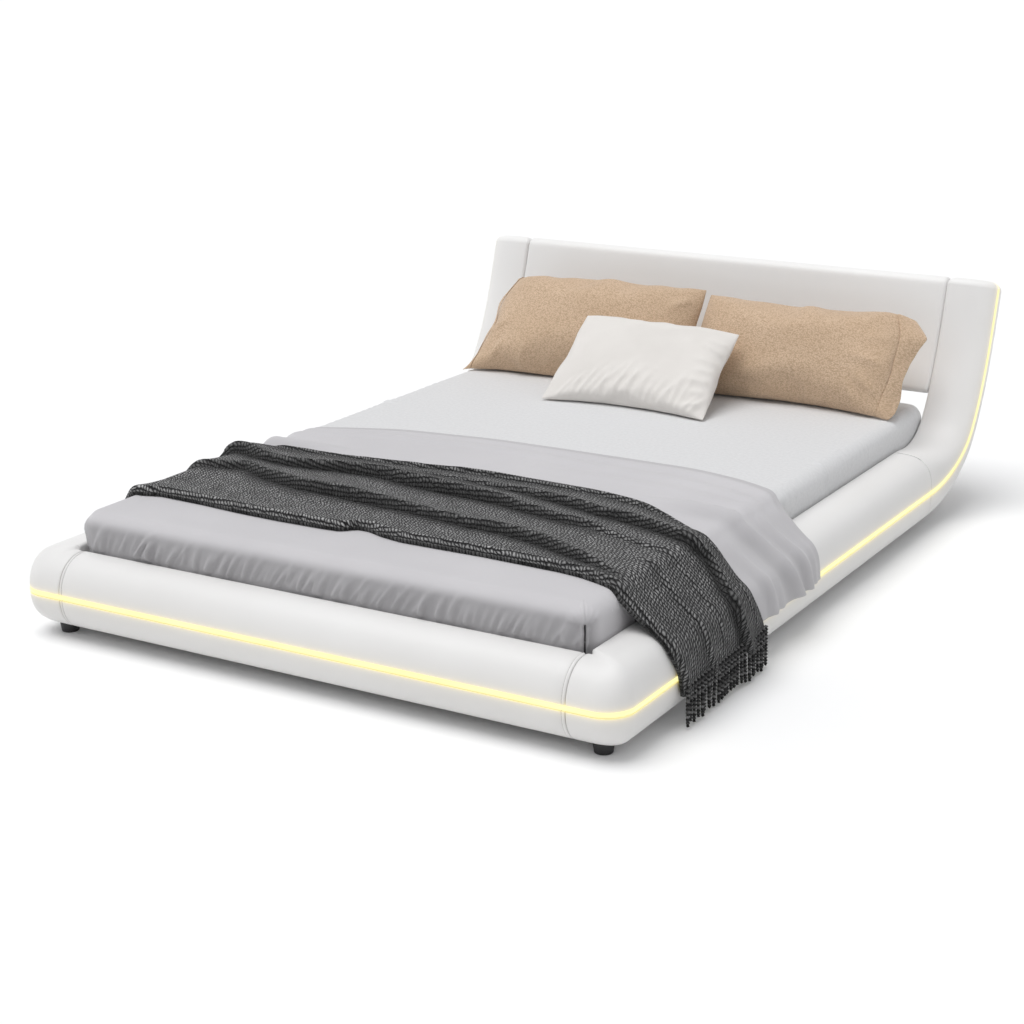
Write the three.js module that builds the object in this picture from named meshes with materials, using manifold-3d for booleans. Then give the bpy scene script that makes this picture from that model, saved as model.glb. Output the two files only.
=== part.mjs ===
// A low upholstered platform bed with a swept headboard and a light line, dressed with its bedding.
// Millimetres, +Z up, +Y towards the headboard, the floor at z = 0.
import * as THREE from 'three';
import { mergeVertices } from 'three/addons/utils/BufferGeometryUtils.js';
import Module from 'manifold-3d';

const wasm = await Module();
wasm.setup();

// Driving sizes

// Mattress, and the well that it lies in
const mattressWidth = 1390;
const mattressLength = 2000;
const mattressHeight = 220;
const mattressCorner = 46;
const mattressEdge = 34;
const sideClearance = 5;
const endClearance = 5;
const platformHeight = 79;

// Upholstered rails: a flat top that runs into a nose. Heights are above and below the light line.
const lightLineHeight = 116.5;
const railFlat = 12;
const railInnerEdge = 8;
const footSection = { width: 97, above: 92, below: 91.5, aboveShare: 0.94, belowShare: 0.86 };
const sideSection = { width: 117, above: 102.5, below: 91.5, aboveShare: 0.67, belowShare: 0.57 };
const riserSection = { width: 142, above: 44.5, below: 125, aboveShare: 0.86, belowShare: 0.86 };
const cornerRadius = 68;
const seamRound = 6;
const seamGap = 0.3;
const footSeamInset = 12;

// Risers that carry the side rails up to the headboard
const riserReach = 426;
const riserRise = 523;
const riserLowHandle = 305;
const riserHighHandle = 132;
const riserLeanDegrees = 69.7;
const riserTopRound = 20;
const riserShapeShare = 0.4;

// Headboard panel between the risers
const panelStartShare = 0.504;
const panelBackStartShare = 0.583;
const panelThickness = 100;
const panelRound = 22;
const panelSetback = 4.8;

// Light strip in its groove
const grooveWidth = 15;
const grooveDepth = 9;
const stripWidth = 13;
const stripProud = 1.2;

// Slatted base
const slatCount = 13;
const slatWidth = 70;
const slatThickness = 20;
const slatChamfer = 3;
const firstSlatSetback = 100;
const lastSlatSetback = 60;
const steelThickness = 3;
const ledgerFlange = 30;
const ledgerWeb = 30;
const ledgerSetback = 66;
const beamWidth = 40;
const beamHeight = 30;
const beamWall = 2;
const crossRailThickness = 25;
const crossRailHeight = 80;
const crossRailRaise = 6;
const legCount = 3;
const legFoot = 50;
const legFootHeight = 6;
const legRod = 12;
const cornerPlateLeg = 60;
const cornerPlateHeight = 46;
const panelBracketLeg = 50;
const panelBracketLength = 70;
const panelBracketShares = [0.65, 0.88];
const controllerLength = 110;
const controllerHeight = 46;
const controllerDepth = 24;
const controllerCorner = 6;
const controllerShare = 0.3;

// Feet
const footTop = 48;
const footBottom = 42;
const footChamfer = 2;
const frontFootOut = 36;
const frontFootForward = 15;
const rearFootOut = 34;
const rearFootFromSeam = 32;

// Bedding
const fittedSheet = 1.5;
const flatSheet = 2.5;
const sheetTuck = 30;
const sheetHemDrop = 9;
const sheetSlitShare = 0.126;
const throwThickness = 9;
const throwHemHeight = 76;
const fringeLength = 72;
const fringeCount = 26;
const fringeThickness = 5;
const fringeBand = 6;
const foldHeight = 34;
const pillowWidth = 688;
const pillowHeight = 340;
const pillowThickness = 205;
const pillowFlange = 46;
const pillowMiddleGap = 12;
const pillowFromHead = 116;
const pillowShift = -5.5;
const cushionWidth = 512;
const cushionHeight = 330;
const cushionThickness = 112;
const cushionFromHead = 367;
const cushionShift = -36;
const pieceSeam = 7;

// Small clearance that touching pieces keep
const fit = 0.3;

// Places that follow from the sizes above
const clearWidth = mattressWidth + 2 * sideClearance;
const clearLength = mattressLength + 2 * endClearance;
const railInnerX = clearWidth / 2;
const footInnerY = -clearLength / 2;
const headInnerY = clearLength / 2;
const railBottomZ = lightLineHeight - footSection.below;
const footRailTopZ = lightLineHeight + footSection.above;
const footSeamX = railInnerX - footSeamInset;
const slatBottomZ = platformHeight - slatThickness;
const mattressTopZ = platformHeight + mattressHeight;
const sides = { left: -1, right: 1 };

// Materials
const colours = {
  leather: { color: 0xe9e7e4, roughness: 0.5, metalness: 0 },
  light: { color: 0xfff4c4, roughness: 0.4, metalness: 0 },
  blackPlastic: { color: 0x17171a, roughness: 0.45, metalness: 0 },
  slatWood: { color: 0xd8b98a, roughness: 0.6, metalness: 0 },
  steel: { color: 0x2b2c2f, roughness: 0.5, metalness: 0.6 },
  mattress: { color: 0xf1efea, roughness: 0.9, metalness: 0 },
  fittedSheet: { color: 0xd6d6d8, roughness: 0.9, metalness: 0 },
  flatSheet: { color: 0xc2c0c4, roughness: 0.85, metalness: 0 },
  throw: { color: 0x3a3a3c, roughness: 0.95, metalness: 0 },
  pillow: { color: 0xc39a6b, roughness: 0.95, metalness: 0 },
  cushion: { color: 0xe8e2d8, roughness: 0.9, metalness: 0 },
};

const bed = new THREE.Group();

function addPiece(name, geometry, look) {
  const mesh = new THREE.Mesh(geometry, new THREE.MeshStandardMaterial(colours[look]));
  mesh.name = name;
  bed.add(mesh);
  return mesh;
}

// Solid helpers

const joinTolerance = 0.0001;

function toManifold(geometry) {
  const bare = geometry.clone();
  bare.deleteAttribute('normal');
  bare.deleteAttribute('uv');
  const merged = mergeVertices(bare, joinTolerance);
  const corners = merged.index.array;
  const kept = [];
  for (let i = 0; i < corners.length; i += 3) {
    const [a, b, c] = [corners[i], corners[i + 1], corners[i + 2]];
    if (a !== b && b !== c && c !== a) kept.push(a, b, c);
  }
  return new wasm.Manifold(new wasm.Mesh({
    numProp: 3,
    vertProperties: new Float32Array(merged.attributes.position.array),
    triVerts: new Uint32Array(kept),
  }));
}

function fromManifold(solid) {
  const mesh = solid.getMesh();
  const geometry = new THREE.BufferGeometry();
  geometry.setAttribute('position', new THREE.BufferAttribute(mesh.vertProperties, 3));
  geometry.setIndex(new THREE.BufferAttribute(mesh.triVerts, 1));
  geometry.computeVertexNormals();
  return geometry;
}

const subtract = (a, b) => fromManifold(toManifold(a).subtract(toManifold(b)));
const intersect = (a, b) => fromManifold(toManifold(a).intersect(toManifold(b)));
const join = (a, b) => fromManifold(toManifold(a).add(toManifold(b)));

function signedVolume(points, faces) {
  const cross = new THREE.Vector3();
  return faces.reduce((sum, [a, b, c]) => (
    sum + points[a].dot(cross.crossVectors(points[b], points[c]))
  ), 0);
}

function facesToGeometry(points, faces) {
  const outward = signedVolume(points, faces) > 0;
  const ordered = outward ? faces : faces.map(([a, b, c]) => [a, c, b]);
  const geometry = new THREE.BufferGeometry().setFromPoints(points);
  geometry.setIndex(ordered.flat());
  return fromManifold(toManifold(geometry));
}

// Rings of equal count, joined side to side and closed at both ends
function ringSolid(rings, outline) {
  const count = outline.length;
  const points = rings.flat();
  const faces = [];
  for (let ring = 0; ring < rings.length - 1; ring += 1) {
    for (let i = 0; i < count; i += 1) {
      const a = ring * count + i;
      const b = ring * count + (i + 1) % count;
      faces.push([a, b, b + count], [a, b + count, a + count]);
    }
  }
  const last = (rings.length - 1) * count;
  const turn = Math.sign(THREE.ShapeUtils.area(outline));
  THREE.ShapeUtils.triangulateShape(outline, []).forEach((corners) => {
    const way = Math.sign(THREE.ShapeUtils.area(corners.map((i) => outline[i])));
    const [a, b, c] = way === turn ? corners : [...corners].reverse();
    faces.push([a, c, b], [last + a, last + b, last + c]);
  });
  return facesToGeometry(points, faces);
}

function extrude(outline, depth, holes = []) {
  const shape = new THREE.Shape(outline);
  holes.forEach((hole) => shape.holes.push(new THREE.Path(hole)));
  const solid = new THREE.ExtrudeGeometry(shape, { depth, bevelEnabled: false, curveSegments: 8 });
  solid.translate(0, 0, -depth / 2);
  return solid;
}

const point2 = (x, y) => new THREE.Vector2(x, y);

function rectangle(width, height) {
  const [x, y] = [width / 2, height / 2];
  return [point2(-x, -y), point2(x, -y), point2(x, y), point2(-x, y)];
}

// A rectangle with round corners, anticlockwise from the lower right one
function roundRectangle(width, height, radius, steps) {
  const outline = [];
  const centres = [[1, -1], [1, 1], [-1, 1], [-1, -1]];
  centres.forEach(([sx, sy], corner) => {
    for (let i = 0; i <= steps; i += 1) {
      const angle = (corner - 1 + i / steps) * Math.PI / 2;
      outline.push(point2(
        sx * (width / 2 - radius) + radius * Math.cos(angle),
        sy * (height / 2 - radius) + radius * Math.sin(angle),
      ));
    }
  });
  return outline;
}

// Steps of a quarter round: how far along the piece, and how far the outline is drawn in there
function roundedEnd(radius, steps) {
  return Array.from({ length: steps + 1 }, (_, i) => {
    const angle = i / steps * Math.PI / 2;
    return { along: radius * (1 - Math.cos(angle)), inset: radius * (1 - Math.sin(angle)) };
  });
}

// An outline drawn in by the same amount on each side of its box
function drawIn(outline, inset) {
  const box = new THREE.Box2().setFromPoints(outline);
  const centre = box.getCenter(new THREE.Vector2());
  const half = box.getSize(new THREE.Vector2()).multiplyScalar(1 / 2);
  return outline.map((p) => point2(
    centre.x + (p.x - centre.x) * (1 - inset / half.x),
    centre.y + (p.y - centre.y) * (1 - inset / half.y),
  ));
}

// Rail section: x runs outwards from the inner face and y runs up from the light line

const noseSteps = 8;
const edgeSteps = 2;

const blend = (from, to, share) => Object.fromEntries(Object.keys(from).map((key) => (
  [key, THREE.MathUtils.lerp(from[key], to[key], share)]
)));

const cornerSection = (angle) => blend(footSection, sideSection, Math.sin(angle) ** 2);
const sectionAt = (share) => (
  blend(sideSection, riserSection, THREE.MathUtils.smoothstep(share, 0, riserShapeShare))
);

function nosePoint(section, angle) {
  const [height, power] = angle > 0
    ? [section.above, section.aboveShare] : [section.below, section.belowShare];
  return point2(
    railFlat + (section.width - railFlat) * Math.cos(angle) ** power,
    Math.sign(angle) * height * Math.sin(Math.abs(angle)) ** power,
  );
}

function railOutline(section) {
  const { width, above, below } = section;
  const lip = (height, power) => Math.asin((grooveWidth / 2 / height) ** (1 / power));
  const outline = [];
  for (let i = 0; i <= edgeSteps; i += 1) {
    const angle = i / edgeSteps * Math.PI / 2;
    outline.push(point2(
      railInnerEdge * (1 - Math.cos(angle)),
      above - railInnerEdge * (1 - Math.sin(angle)),
    ));
  }
  const [upperLip, lowerLip] = [lip(above, section.aboveShare), lip(below, section.belowShare)];
  for (let i = 0; i <= noseSteps; i += 1) {
    outline.push(nosePoint(section, THREE.MathUtils.lerp(Math.PI / 2, upperLip, i / noseSteps)));
  }
  const floor = width - grooveDepth;
  outline.push(point2(floor, grooveWidth / 2), point2(floor, -grooveWidth / 2));
  for (let i = 0; i <= noseSteps; i += 1) {
    outline.push(nosePoint(section, -THREE.MathUtils.lerp(lowerLip, Math.PI / 2, i / noseSteps)));
  }
  outline.push(point2(railInnerEdge, -below), point2(0, railInnerEdge - below));
  return outline;
}

// Flat back in the groove, softly domed face just proud of the cover
function stripOutline({ width }) {
  const [back, face, half] = [width - grooveDepth + fit, width + stripProud, stripWidth / 2];
  const dome = half / 2;
  return [
    point2(back, -half), point2(back, half), point2(face - dome / 2, half),
    point2(face, dome), point2(face, -dome), point2(face - dome / 2, -half),
  ];
}

// Stations along the foot, round the corner and along the side. Each turns an outline into a ring.

const footStation = (side, x) => (outline) => outline.map((p) => (
  new THREE.Vector3(side * x, footInnerY - p.x, lightLineHeight + p.y)
));

const sideStation = (side, y) => (outline) => outline.map((p) => (
  new THREE.Vector3(side * (railInnerX + p.x), y, lightLineHeight + p.y)
));

// Round the corner the section turns about the well's corner, and reaches to a round line outside
const cornerStation = (side, angle) => (outline) => outline.map((p) => {
  const outX = sideSection.width - cornerRadius * (1 - Math.sin(angle));
  const outY = footSection.width - cornerRadius * (1 - Math.cos(angle));
  const { width } = cornerSection(angle);
  return new THREE.Vector3(
    side * (railInnerX + outX * p.x / width),
    footInnerY - outY * p.x / width,
    lightLineHeight + p.y,
  );
});

// The riser's centre line, in the plane of its side: x is along the bed and y is up
const riserLean = THREE.MathUtils.degToRad(riserLeanDegrees);
const riserLine = new THREE.CubicBezierCurve(
  point2(0, 0),
  point2(riserLowHandle, 0),
  point2(
    riserReach - riserHighHandle * Math.cos(riserLean),
    riserRise - riserHighHandle * Math.sin(riserLean),
  ),
  point2(riserReach, riserRise),
);
const riserLength = riserLine.getLength();

// A place beside that line, from its start: share of its length, and height off it to the front
function besideRiserLine(share, height) {
  const place = riserLine.getPointAt(share);
  const along = riserLine.getTangentAt(share);
  return point2(place.x - along.y * height, place.y + along.x * height);
}

// The risers start where the panel's face, above its round lower edge, is set back from the mattress
const panelFaceStart = besideRiserLine(panelStartShare + panelRound / riserLength, riserSection.above);
const riserStartY = mattressLength / 2 + panelSetback - panelFaceStart.x;

const offRiserLine = (share, height) => (
  besideRiserLine(share, height).add(point2(riserStartY, lightLineHeight))
);

const riserStation = (side, share) => (outline) => outline.map((p) => {
  const place = offRiserLine(share, p.y);
  return new THREE.Vector3(side * (railInnerX + p.x), place.x, place.y);
});

const cornerSteps = 8;
const riserSteps = 14;
const seamSteps = 2;
const topSteps = 4;

const cornerAngles = Array.from({ length: cornerSteps + 1 }, (_, i) => (
  i / cornerSteps * Math.PI / 2
));

// Rings of one outline, drawn in round the edge at a seam
const seamRings = (outline, radius, steps, stationAt) => (
  roundedEnd(radius, steps).map(({ along, inset }) => stationAt(along)(drawIn(outline, inset)))
);

function footRail() {
  const outline = railOutline(footSection);
  const end = footSeamX - seamGap / 2;
  const near = seamRings(outline, seamRound, seamSteps, (along) => footStation(1, along - end));
  const far = seamRings(outline, seamRound, seamSteps, (along) => footStation(1, end - along));
  return ringSolid([...near, ...far.reverse()], outline);
}

function sideRail(side) {
  const [footOutline, sideOutline] = [railOutline(footSection), railOutline(sideSection)];
  const start = footSeamX + seamGap / 2;
  const end = riserStartY - seamGap / 2;
  const foot = seamRings(footOutline, seamRound, seamSteps, (along) => footStation(side, start + along));
  const corner = cornerAngles.map((angle) => (
    cornerStation(side, angle)(railOutline(cornerSection(angle)))
  ));
  const head = seamRings(sideOutline, seamRound, seamSteps, (along) => sideStation(side, end - along));
  return ringSolid([...foot, ...corner, ...head.reverse()], footOutline);
}

function riser(side) {
  const outlineAt = (share) => railOutline(sectionAt(share));
  const start = seamGap / 2;
  const low = seamRings(outlineAt(0), seamRound, seamSteps, (along) => (
    riserStation(side, (start + along) / riserLength)
  ));
  const lowShare = (start + seamRound) / riserLength;
  const highShare = 1 - riserTopRound / riserLength;
  const sweep = Array.from({ length: riserSteps - 1 }, (_, i) => {
    const share = THREE.MathUtils.lerp(lowShare, highShare, (i + 1) / riserSteps);
    return riserStation(side, share)(outlineAt(share));
  });
  const top = seamRings(outlineAt(1), riserTopRound, topSteps, (along) => (
    riserStation(side, 1 - along / riserLength)
  ));
  return ringSolid([...low, ...sweep, ...top.reverse()], outlineAt(0));
}

function footStrip() {
  const outline = stripOutline(footSection);
  const end = footSeamX - seamGap / 2;
  return ringSolid([footStation(1, -end)(outline), footStation(1, end)(outline)], outline);
}

function sideStrip(side) {
  const outline = stripOutline(footSection);
  const foot = footStation(side, footSeamX + seamGap / 2)(outline);
  const corner = cornerAngles.map((angle) => (
    cornerStation(side, angle)(stripOutline(cornerSection(angle)))
  ));
  const highShare = 1 - riserTopRound / riserLength;
  const rise = Array.from({ length: riserSteps + 1 }, (_, i) => {
    const share = i / riserSteps * highShare;
    return riserStation(side, share)(stripOutline(sectionAt(share)));
  });
  return ringSolid([foot, ...corner, ...rise], outline);
}

// Headboard panel: a round-edged plate bent along the risers' line, its face level with theirs

const panelSteps = 8;
const panelCornerSteps = 3;
const panelHalfWidth = railInnerX - fit;

function headPanel() {
  const length = (1 - panelStartShare) * riserLength;
  const corners = roundRectangle(length, panelThickness, panelRound, panelCornerSteps);
  const flat = corners.flatMap((p, i) => {
    const next = corners[(i + 1) % corners.length];
    const long = Math.abs(next.x - p.x) > length / 2;
    const between = Array.from({ length: panelSteps - 1 }, (_, k) => (
      p.clone().lerp(next, (k + 1) / panelSteps)
    ));
    return long ? [p, ...between] : [p];
  });
  const ring = (x, inset) => drawIn(flat, inset).map((p) => {
    const depth = 1 / 2 - p.y / panelThickness;
    const lowest = THREE.MathUtils.lerp(panelStartShare, panelBackStartShare, depth);
    const share = THREE.MathUtils.lerp(lowest, 1, 1 / 2 + p.x / length);
    const place = offRiserLine(share, riserSection.above - panelThickness * depth);
    return new THREE.Vector3(x, place.x, place.y);
  });
  const near = roundedEnd(panelRound, panelCornerSteps).map(({ along, inset }) => (
    ring(along - panelHalfWidth, inset)
  ));
  const far = roundedEnd(panelRound, panelCornerSteps).reverse().map(({ along, inset }) => (
    ring(panelHalfWidth - along, inset)
  ));
  return ringSolid([...near, ...far], flat);
}

// A steel angle that ties the panel's back to a riser's inner face
function panelBracket(side, share) {
  const leg = panelBracketLeg;
  const wall = steelThickness;
  const outline = [
    point2(0, 0), point2(leg, 0), point2(leg, wall),
    point2(wall, wall), point2(wall, leg), point2(0, leg),
  ].map((p) => point2(-side * p.x, p.y));
  const bracket = extrude(outline, panelBracketLength);
  const back = offRiserLine(share, riserSection.above - panelThickness - fit);
  const along = riserLine.getTangentAt(share);
  bracket.rotateX(-Math.atan2(along.x, along.y));
  bracket.translate(side * (panelHalfWidth - fit), back.x, back.y);
  return bracket;
}

// Slatted base

const chamferedBoard = (width, height, chamfer) => roundRectangle(width, height, chamfer, 1);

function slat() {
  const length = clearWidth - 2 * steelThickness - 4 * fit;
  return extrude(chamferedBoard(slatWidth, slatThickness, slatChamfer), length)
    .rotateX(Math.PI / 2).rotateZ(Math.PI / 2);
}

const ledgerStartY = footInnerY + ledgerSetback;
const ledgerLength = headInnerY - ledgerStartY;

function ledger(side) {
  const outline = [
    point2(0, 0), point2(0, -ledgerWeb), point2(steelThickness, -ledgerWeb),
    point2(steelThickness, -steelThickness), point2(ledgerFlange, -steelThickness),
    point2(ledgerFlange, 0),
  ].map((p) => point2(-side * p.x, p.y));
  return extrude(outline, ledgerLength).rotateX(Math.PI / 2).translate(
    side * (railInnerX - fit),
    ledgerStartY + ledgerLength / 2,
    slatBottomZ - fit,
  );
}

function cornerPlate(side) {
  const leg = cornerPlateLeg;
  const wall = steelThickness;
  const outline = [
    point2(0, 0), point2(leg, 0), point2(leg, wall),
    point2(wall, wall), point2(wall, leg), point2(0, leg),
  ].map((p) => point2(-side * p.x, p.y));
  return extrude(outline, cornerPlateHeight).translate(
    side * (railInnerX - fit),
    footInnerY + fit,
    railBottomZ + cornerPlateHeight / 2,
  );
}

const beamLength = clearLength - 2 * fit;
const beamTopZ = slatBottomZ - fit;

function centreBeam() {
  const inner = rectangle(beamWidth - 2 * beamWall, beamHeight - 2 * beamWall).reverse();
  return extrude(rectangle(beamWidth, beamHeight), beamLength, [inner])
    .rotateX(Math.PI / 2)
    .translate(0, 0, beamTopZ - beamHeight / 2);
}

function crossRail() {
  const length = clearWidth - 2 * fit;
  return extrude(chamferedBoard(crossRailThickness, crossRailHeight, slatChamfer), length)
    .rotateX(Math.PI / 2).rotateZ(Math.PI / 2)
    .translate(
      0,
      headInnerY + fit + crossRailThickness / 2,
      slatBottomZ - ledgerWeb + crossRailRaise + crossRailHeight / 2,
    );
}

function controller() {
  const outline = roundRectangle(controllerLength, controllerHeight, controllerCorner, 3);
  return extrude(outline, controllerDepth).rotateX(Math.PI / 2).translate(
    controllerShare * clearWidth,
    headInnerY + crossRailThickness + 2 * fit + controllerDepth / 2,
    slatBottomZ - ledgerWeb + crossRailRaise + crossRailHeight / 2,
  );
}

const latheSteps = 20;

function latheUp(profile) {
  return new THREE.LatheGeometry(profile.map(([r, z]) => point2(r, z)), latheSteps)
    .rotateX(Math.PI / 2);
}

// Levelling leg: a wide foot on a rod that screws into the beam
function centreLeg() {
  const top = beamTopZ - beamHeight - fit;
  return latheUp([
    [0, 0], [legFoot / 2, 0], [legFoot / 2, legFootHeight / 2],
    [legRod, legFootHeight], [legRod / 2, legFootHeight],
    [legRod / 2, top], [0, top],
  ]);
}

function roundFoot() {
  const top = railBottomZ - fit;
  return latheUp([
    [0, 0], [footBottom / 2 - footChamfer, 0], [footBottom / 2, footChamfer],
    [footTop / 2, top], [0, top],
  ]);
}

// Bedding

// A block with round corners in plan and round edges above and below
function softBlock(grow, bottomZ, topZ) {
  const outline = roundRectangle(
    mattressWidth + 2 * grow,
    mattressLength + 2 * grow,
    mattressCorner + grow,
    4,
  );
  const round = roundedEnd(mattressEdge + grow, 3);
  const low = round.map(({ along, inset }) => ({ z: bottomZ + along, inset }));
  const high = round.map(({ along, inset }) => ({ z: topZ - along, inset })).reverse();
  const rings = [...low, ...high].map(({ z, inset }) => (
    drawIn(outline, inset).map((p) => new THREE.Vector3(p.x, p.y, z))
  ));
  return ringSolid(rings, outline);
}

// The same block cut open below, as a sheet of the given thickness that covers top and sides
function coverShell(gap, thickness, hemZ) {
  const deep = 2 * mattressHeight;
  const outer = softBlock(gap + thickness, hemZ - deep, mattressTopZ + gap + thickness);
  const inner = softBlock(gap, hemZ - 2 * deep, mattressTopZ + gap);
  const keep = new THREE.BoxGeometry(2 * mattressWidth, 2 * mattressLength, deep)
    .translate(0, 0, hemZ + deep / 2);
  return intersect(subtract(outer, inner), keep);
}

const fittedTop = fit + fittedSheet;
const flatGap = fittedTop + fit;
const flatTop = flatGap + flatSheet;

// Fall of a cloth over the mattress edge and the rail's shoulder, grown by its distance outwards.
// Share 0 is on the flat top beside the edge, and share 1 is the hem.
const edgeAngleShares = [1, 2 / 3, 1 / 3];
const shoulderAngleShares = [0.68, 0.5, 0.34, 0.17, 0];

function fallCurve(grow, hemZ, settle) {
  const edge = mattressEdge + grow;
  const edgeX = mattressWidth / 2 + grow - edge;
  const edgeZ = mattressTopZ + grow - edge;
  const points = edgeAngleShares.map((share) => point2(
    edgeX + edge * Math.cos(share * Math.PI / 2),
    edgeZ + edge * Math.sin(share * Math.PI / 2),
  ));
  const out = stripProud + settle;
  const away = { ...sideSection, width: sideSection.width + out, above: sideSection.above + out };
  shoulderAngleShares.forEach((share) => {
    const p = nosePoint(away, share * Math.PI / 2);
    points.push(point2(railInnerX + p.x, lightLineHeight + p.y));
  });
  points.push(point2(points.at(-1).x, hemZ));
  return points;
}

// A sheet from a grid of points on its underside, thickened outwards and closed round its edge
function sheetSolid(grid, thickness) {
  const [rows, columns] = [grid.length, grid[0].length];
  const at = (i, j) => grid[THREE.MathUtils.clamp(i, 0, rows - 1)][THREE.MathUtils.clamp(j, 0, columns - 1)];
  const upper = grid.map((row, i) => row.map((p, j) => {
    const across = at(i, j + 1).clone().sub(at(i, j - 1));
    const along = at(i + 1, j).clone().sub(at(i - 1, j));
    const normal = across.cross(along).normalize();
    return p.clone().addScaledVector(normal, thickness);
  }));
  const points = [...grid.flat(), ...upper.flat()];
  const low = (i, j) => i * columns + j;
  const high = (i, j) => rows * columns + low(i, j);
  const faces = [];
  for (let i = 0; i < rows - 1; i += 1) {
    for (let j = 0; j < columns - 1; j += 1) {
      faces.push([low(i, j), low(i + 1, j), low(i + 1, j + 1)], [low(i, j), low(i + 1, j + 1), low(i, j + 1)]);
      faces.push([high(i, j), high(i + 1, j + 1), high(i + 1, j)], [high(i, j), high(i, j + 1), high(i + 1, j + 1)]);
    }
  }
  const wall = (a, b, c, d) => faces.push([a, b, c], [a, c, d]);
  for (let i = 0; i < rows - 1; i += 1) {
    wall(low(i, 0), high(i, 0), high(i + 1, 0), low(i + 1, 0));
    wall(low(i + 1, columns - 1), high(i + 1, columns - 1), high(i, columns - 1), low(i, columns - 1));
  }
  for (let j = 0; j < columns - 1; j += 1) {
    wall(low(0, j + 1), high(0, j + 1), high(0, j), low(0, j));
    wall(low(rows - 1, j), high(rows - 1, j), high(rows - 1, j + 1), low(rows - 1, j + 1));
  }
  return facesToGeometry(points, faces);
}

// Along the bed a place is a share of the mattress length, from its foot end
const alongMattress = (share) => (share - 0.5) * mattressLength;

// Head edge of the flat sheet: shares across the bed, and of its length
const sheetEdgeShares = [[-0.5, 0.445], [-0.33, 0.5], [-0.12, 0.524], [0.1, 0.524], [0.31, 0.522], [0.5, 0.48]];
const wingHemShare = 0.467;
const wingRows = 6;

function flatSheetSolid() {
  const shell = coverShell(flatGap, flatSheet, footRailTopZ - sheetTuck);
  const reach = mattressWidth;
  const edge = new THREE.SplineCurve(sheetEdgeShares.map(([x, y]) => (
    point2(x * mattressWidth, alongMattress(y))
  ))).getPoints(12);
  const plan = [
    point2(-reach, -mattressLength), point2(reach, -mattressLength), point2(reach, edge.at(-1).y),
    ...edge.reverse(), point2(-reach, edge.at(-1).y),
  ];
  const deep = 4 * mattressHeight;
  const kept = intersect(shell, extrude(plan, deep).translate(0, 0, mattressTopZ));
  const slitY = alongMattress(sheetSlitShare);
  const cut = new THREE.BoxGeometry(2 * reach, mattressLength, mattressHeight).translate(
    0,
    slitY + mattressLength / 2,
    mattressTopZ + flatGap - mattressEdge - mattressHeight / 2,
  );
  let sheet = subtract(kept, cut);
  Object.values(sides).forEach((side) => {
    sheet = join(sheet, flatSheetWing(side, slitY));
  });
  return sheet;
}

// The stretch of the flat sheet that falls over one side rail
function flatSheetWing(side, slitY) {
  const fall = fallCurve(flatGap, lightLineHeight - sheetHemDrop, 2 * fit);
  const inward = fall[0].x - mattressEdge;
  const profile = [point2(inward, fall[0].y), ...fall];
  const topY = alongMattress(sheetEdgeShares[side > 0 ? sheetEdgeShares.length - 1 : 0][1]);
  const hemY = alongMattress(wingHemShare);
  const grid = Array.from({ length: wingRows + 1 }, (_, i) => profile.map((p, j) => {
    const headY = THREE.MathUtils.lerp(topY, hemY, j / (profile.length - 1));
    return new THREE.Vector3(side * p.x, THREE.MathUtils.lerp(slitY, headY, i / wingRows), p.y);
  }));
  if (side < 0) grid.reverse();
  return sheetSolid(grid, flatSheet);
}

// Throw: a knitted cloth across the bed, in long folds, that falls over both rails.
// Near and far edges, from the left hem to the right one, as shares of the mattress length.
const throwNearShares = [0.135, 0.086, 0.083, 0.094, 0.086, 0.066, 0.081];
const throwFarShares = [0.29, 0.33, 0.345, 0.37, 0.37, 0.285, 0.295];
const throwFoldCount = 4;
const throwRows = 20;
const throwTopColumns = 9;
const foldDriftShare = 0.22;
const foldFlatShare = 0.16;
const foldSideShare = 0.3;

function lerpShares(shares, at) {
  const place = at * (shares.length - 1);
  const index = Math.min(Math.floor(place), shares.length - 2);
  return THREE.MathUtils.lerp(shares[index], shares[index + 1], place - index);
}

const throwGap = flatTop + 2 * fit;
const throwSettle = flatSheet + 5 * fit;

function throwProfile() {
  const fall = fallCurve(throwGap, throwHemHeight, throwSettle);
  const half = fall[0].x;
  const top = Array.from({ length: throwTopColumns }, (_, i) => (
    point2(half * (2 * (i + 1) / (throwTopColumns + 1) - 1), fall[0].y)
  ));
  const leftFall = fall.map((p) => point2(-p.x, p.y)).reverse();
  return [...leftFall, ...top, ...fall];
}

// Height of the folds over the cloth's lowest line, at a share across it and along it
function foldAt(across, along) {
  const calm = Math.sin(Math.PI * along) ** foldFlatShare;
  const wave = Math.sin(Math.PI * (throwFoldCount * along + foldDriftShare * Math.sin(2 * Math.PI * across))) ** 2;
  const onTop = THREE.MathUtils.smoothstep(Math.min(across, 1 - across), 0, foldSideShare);
  return foldHeight * calm * wave * THREE.MathUtils.lerp(foldSideShare, 1, onTop);
}

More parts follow.
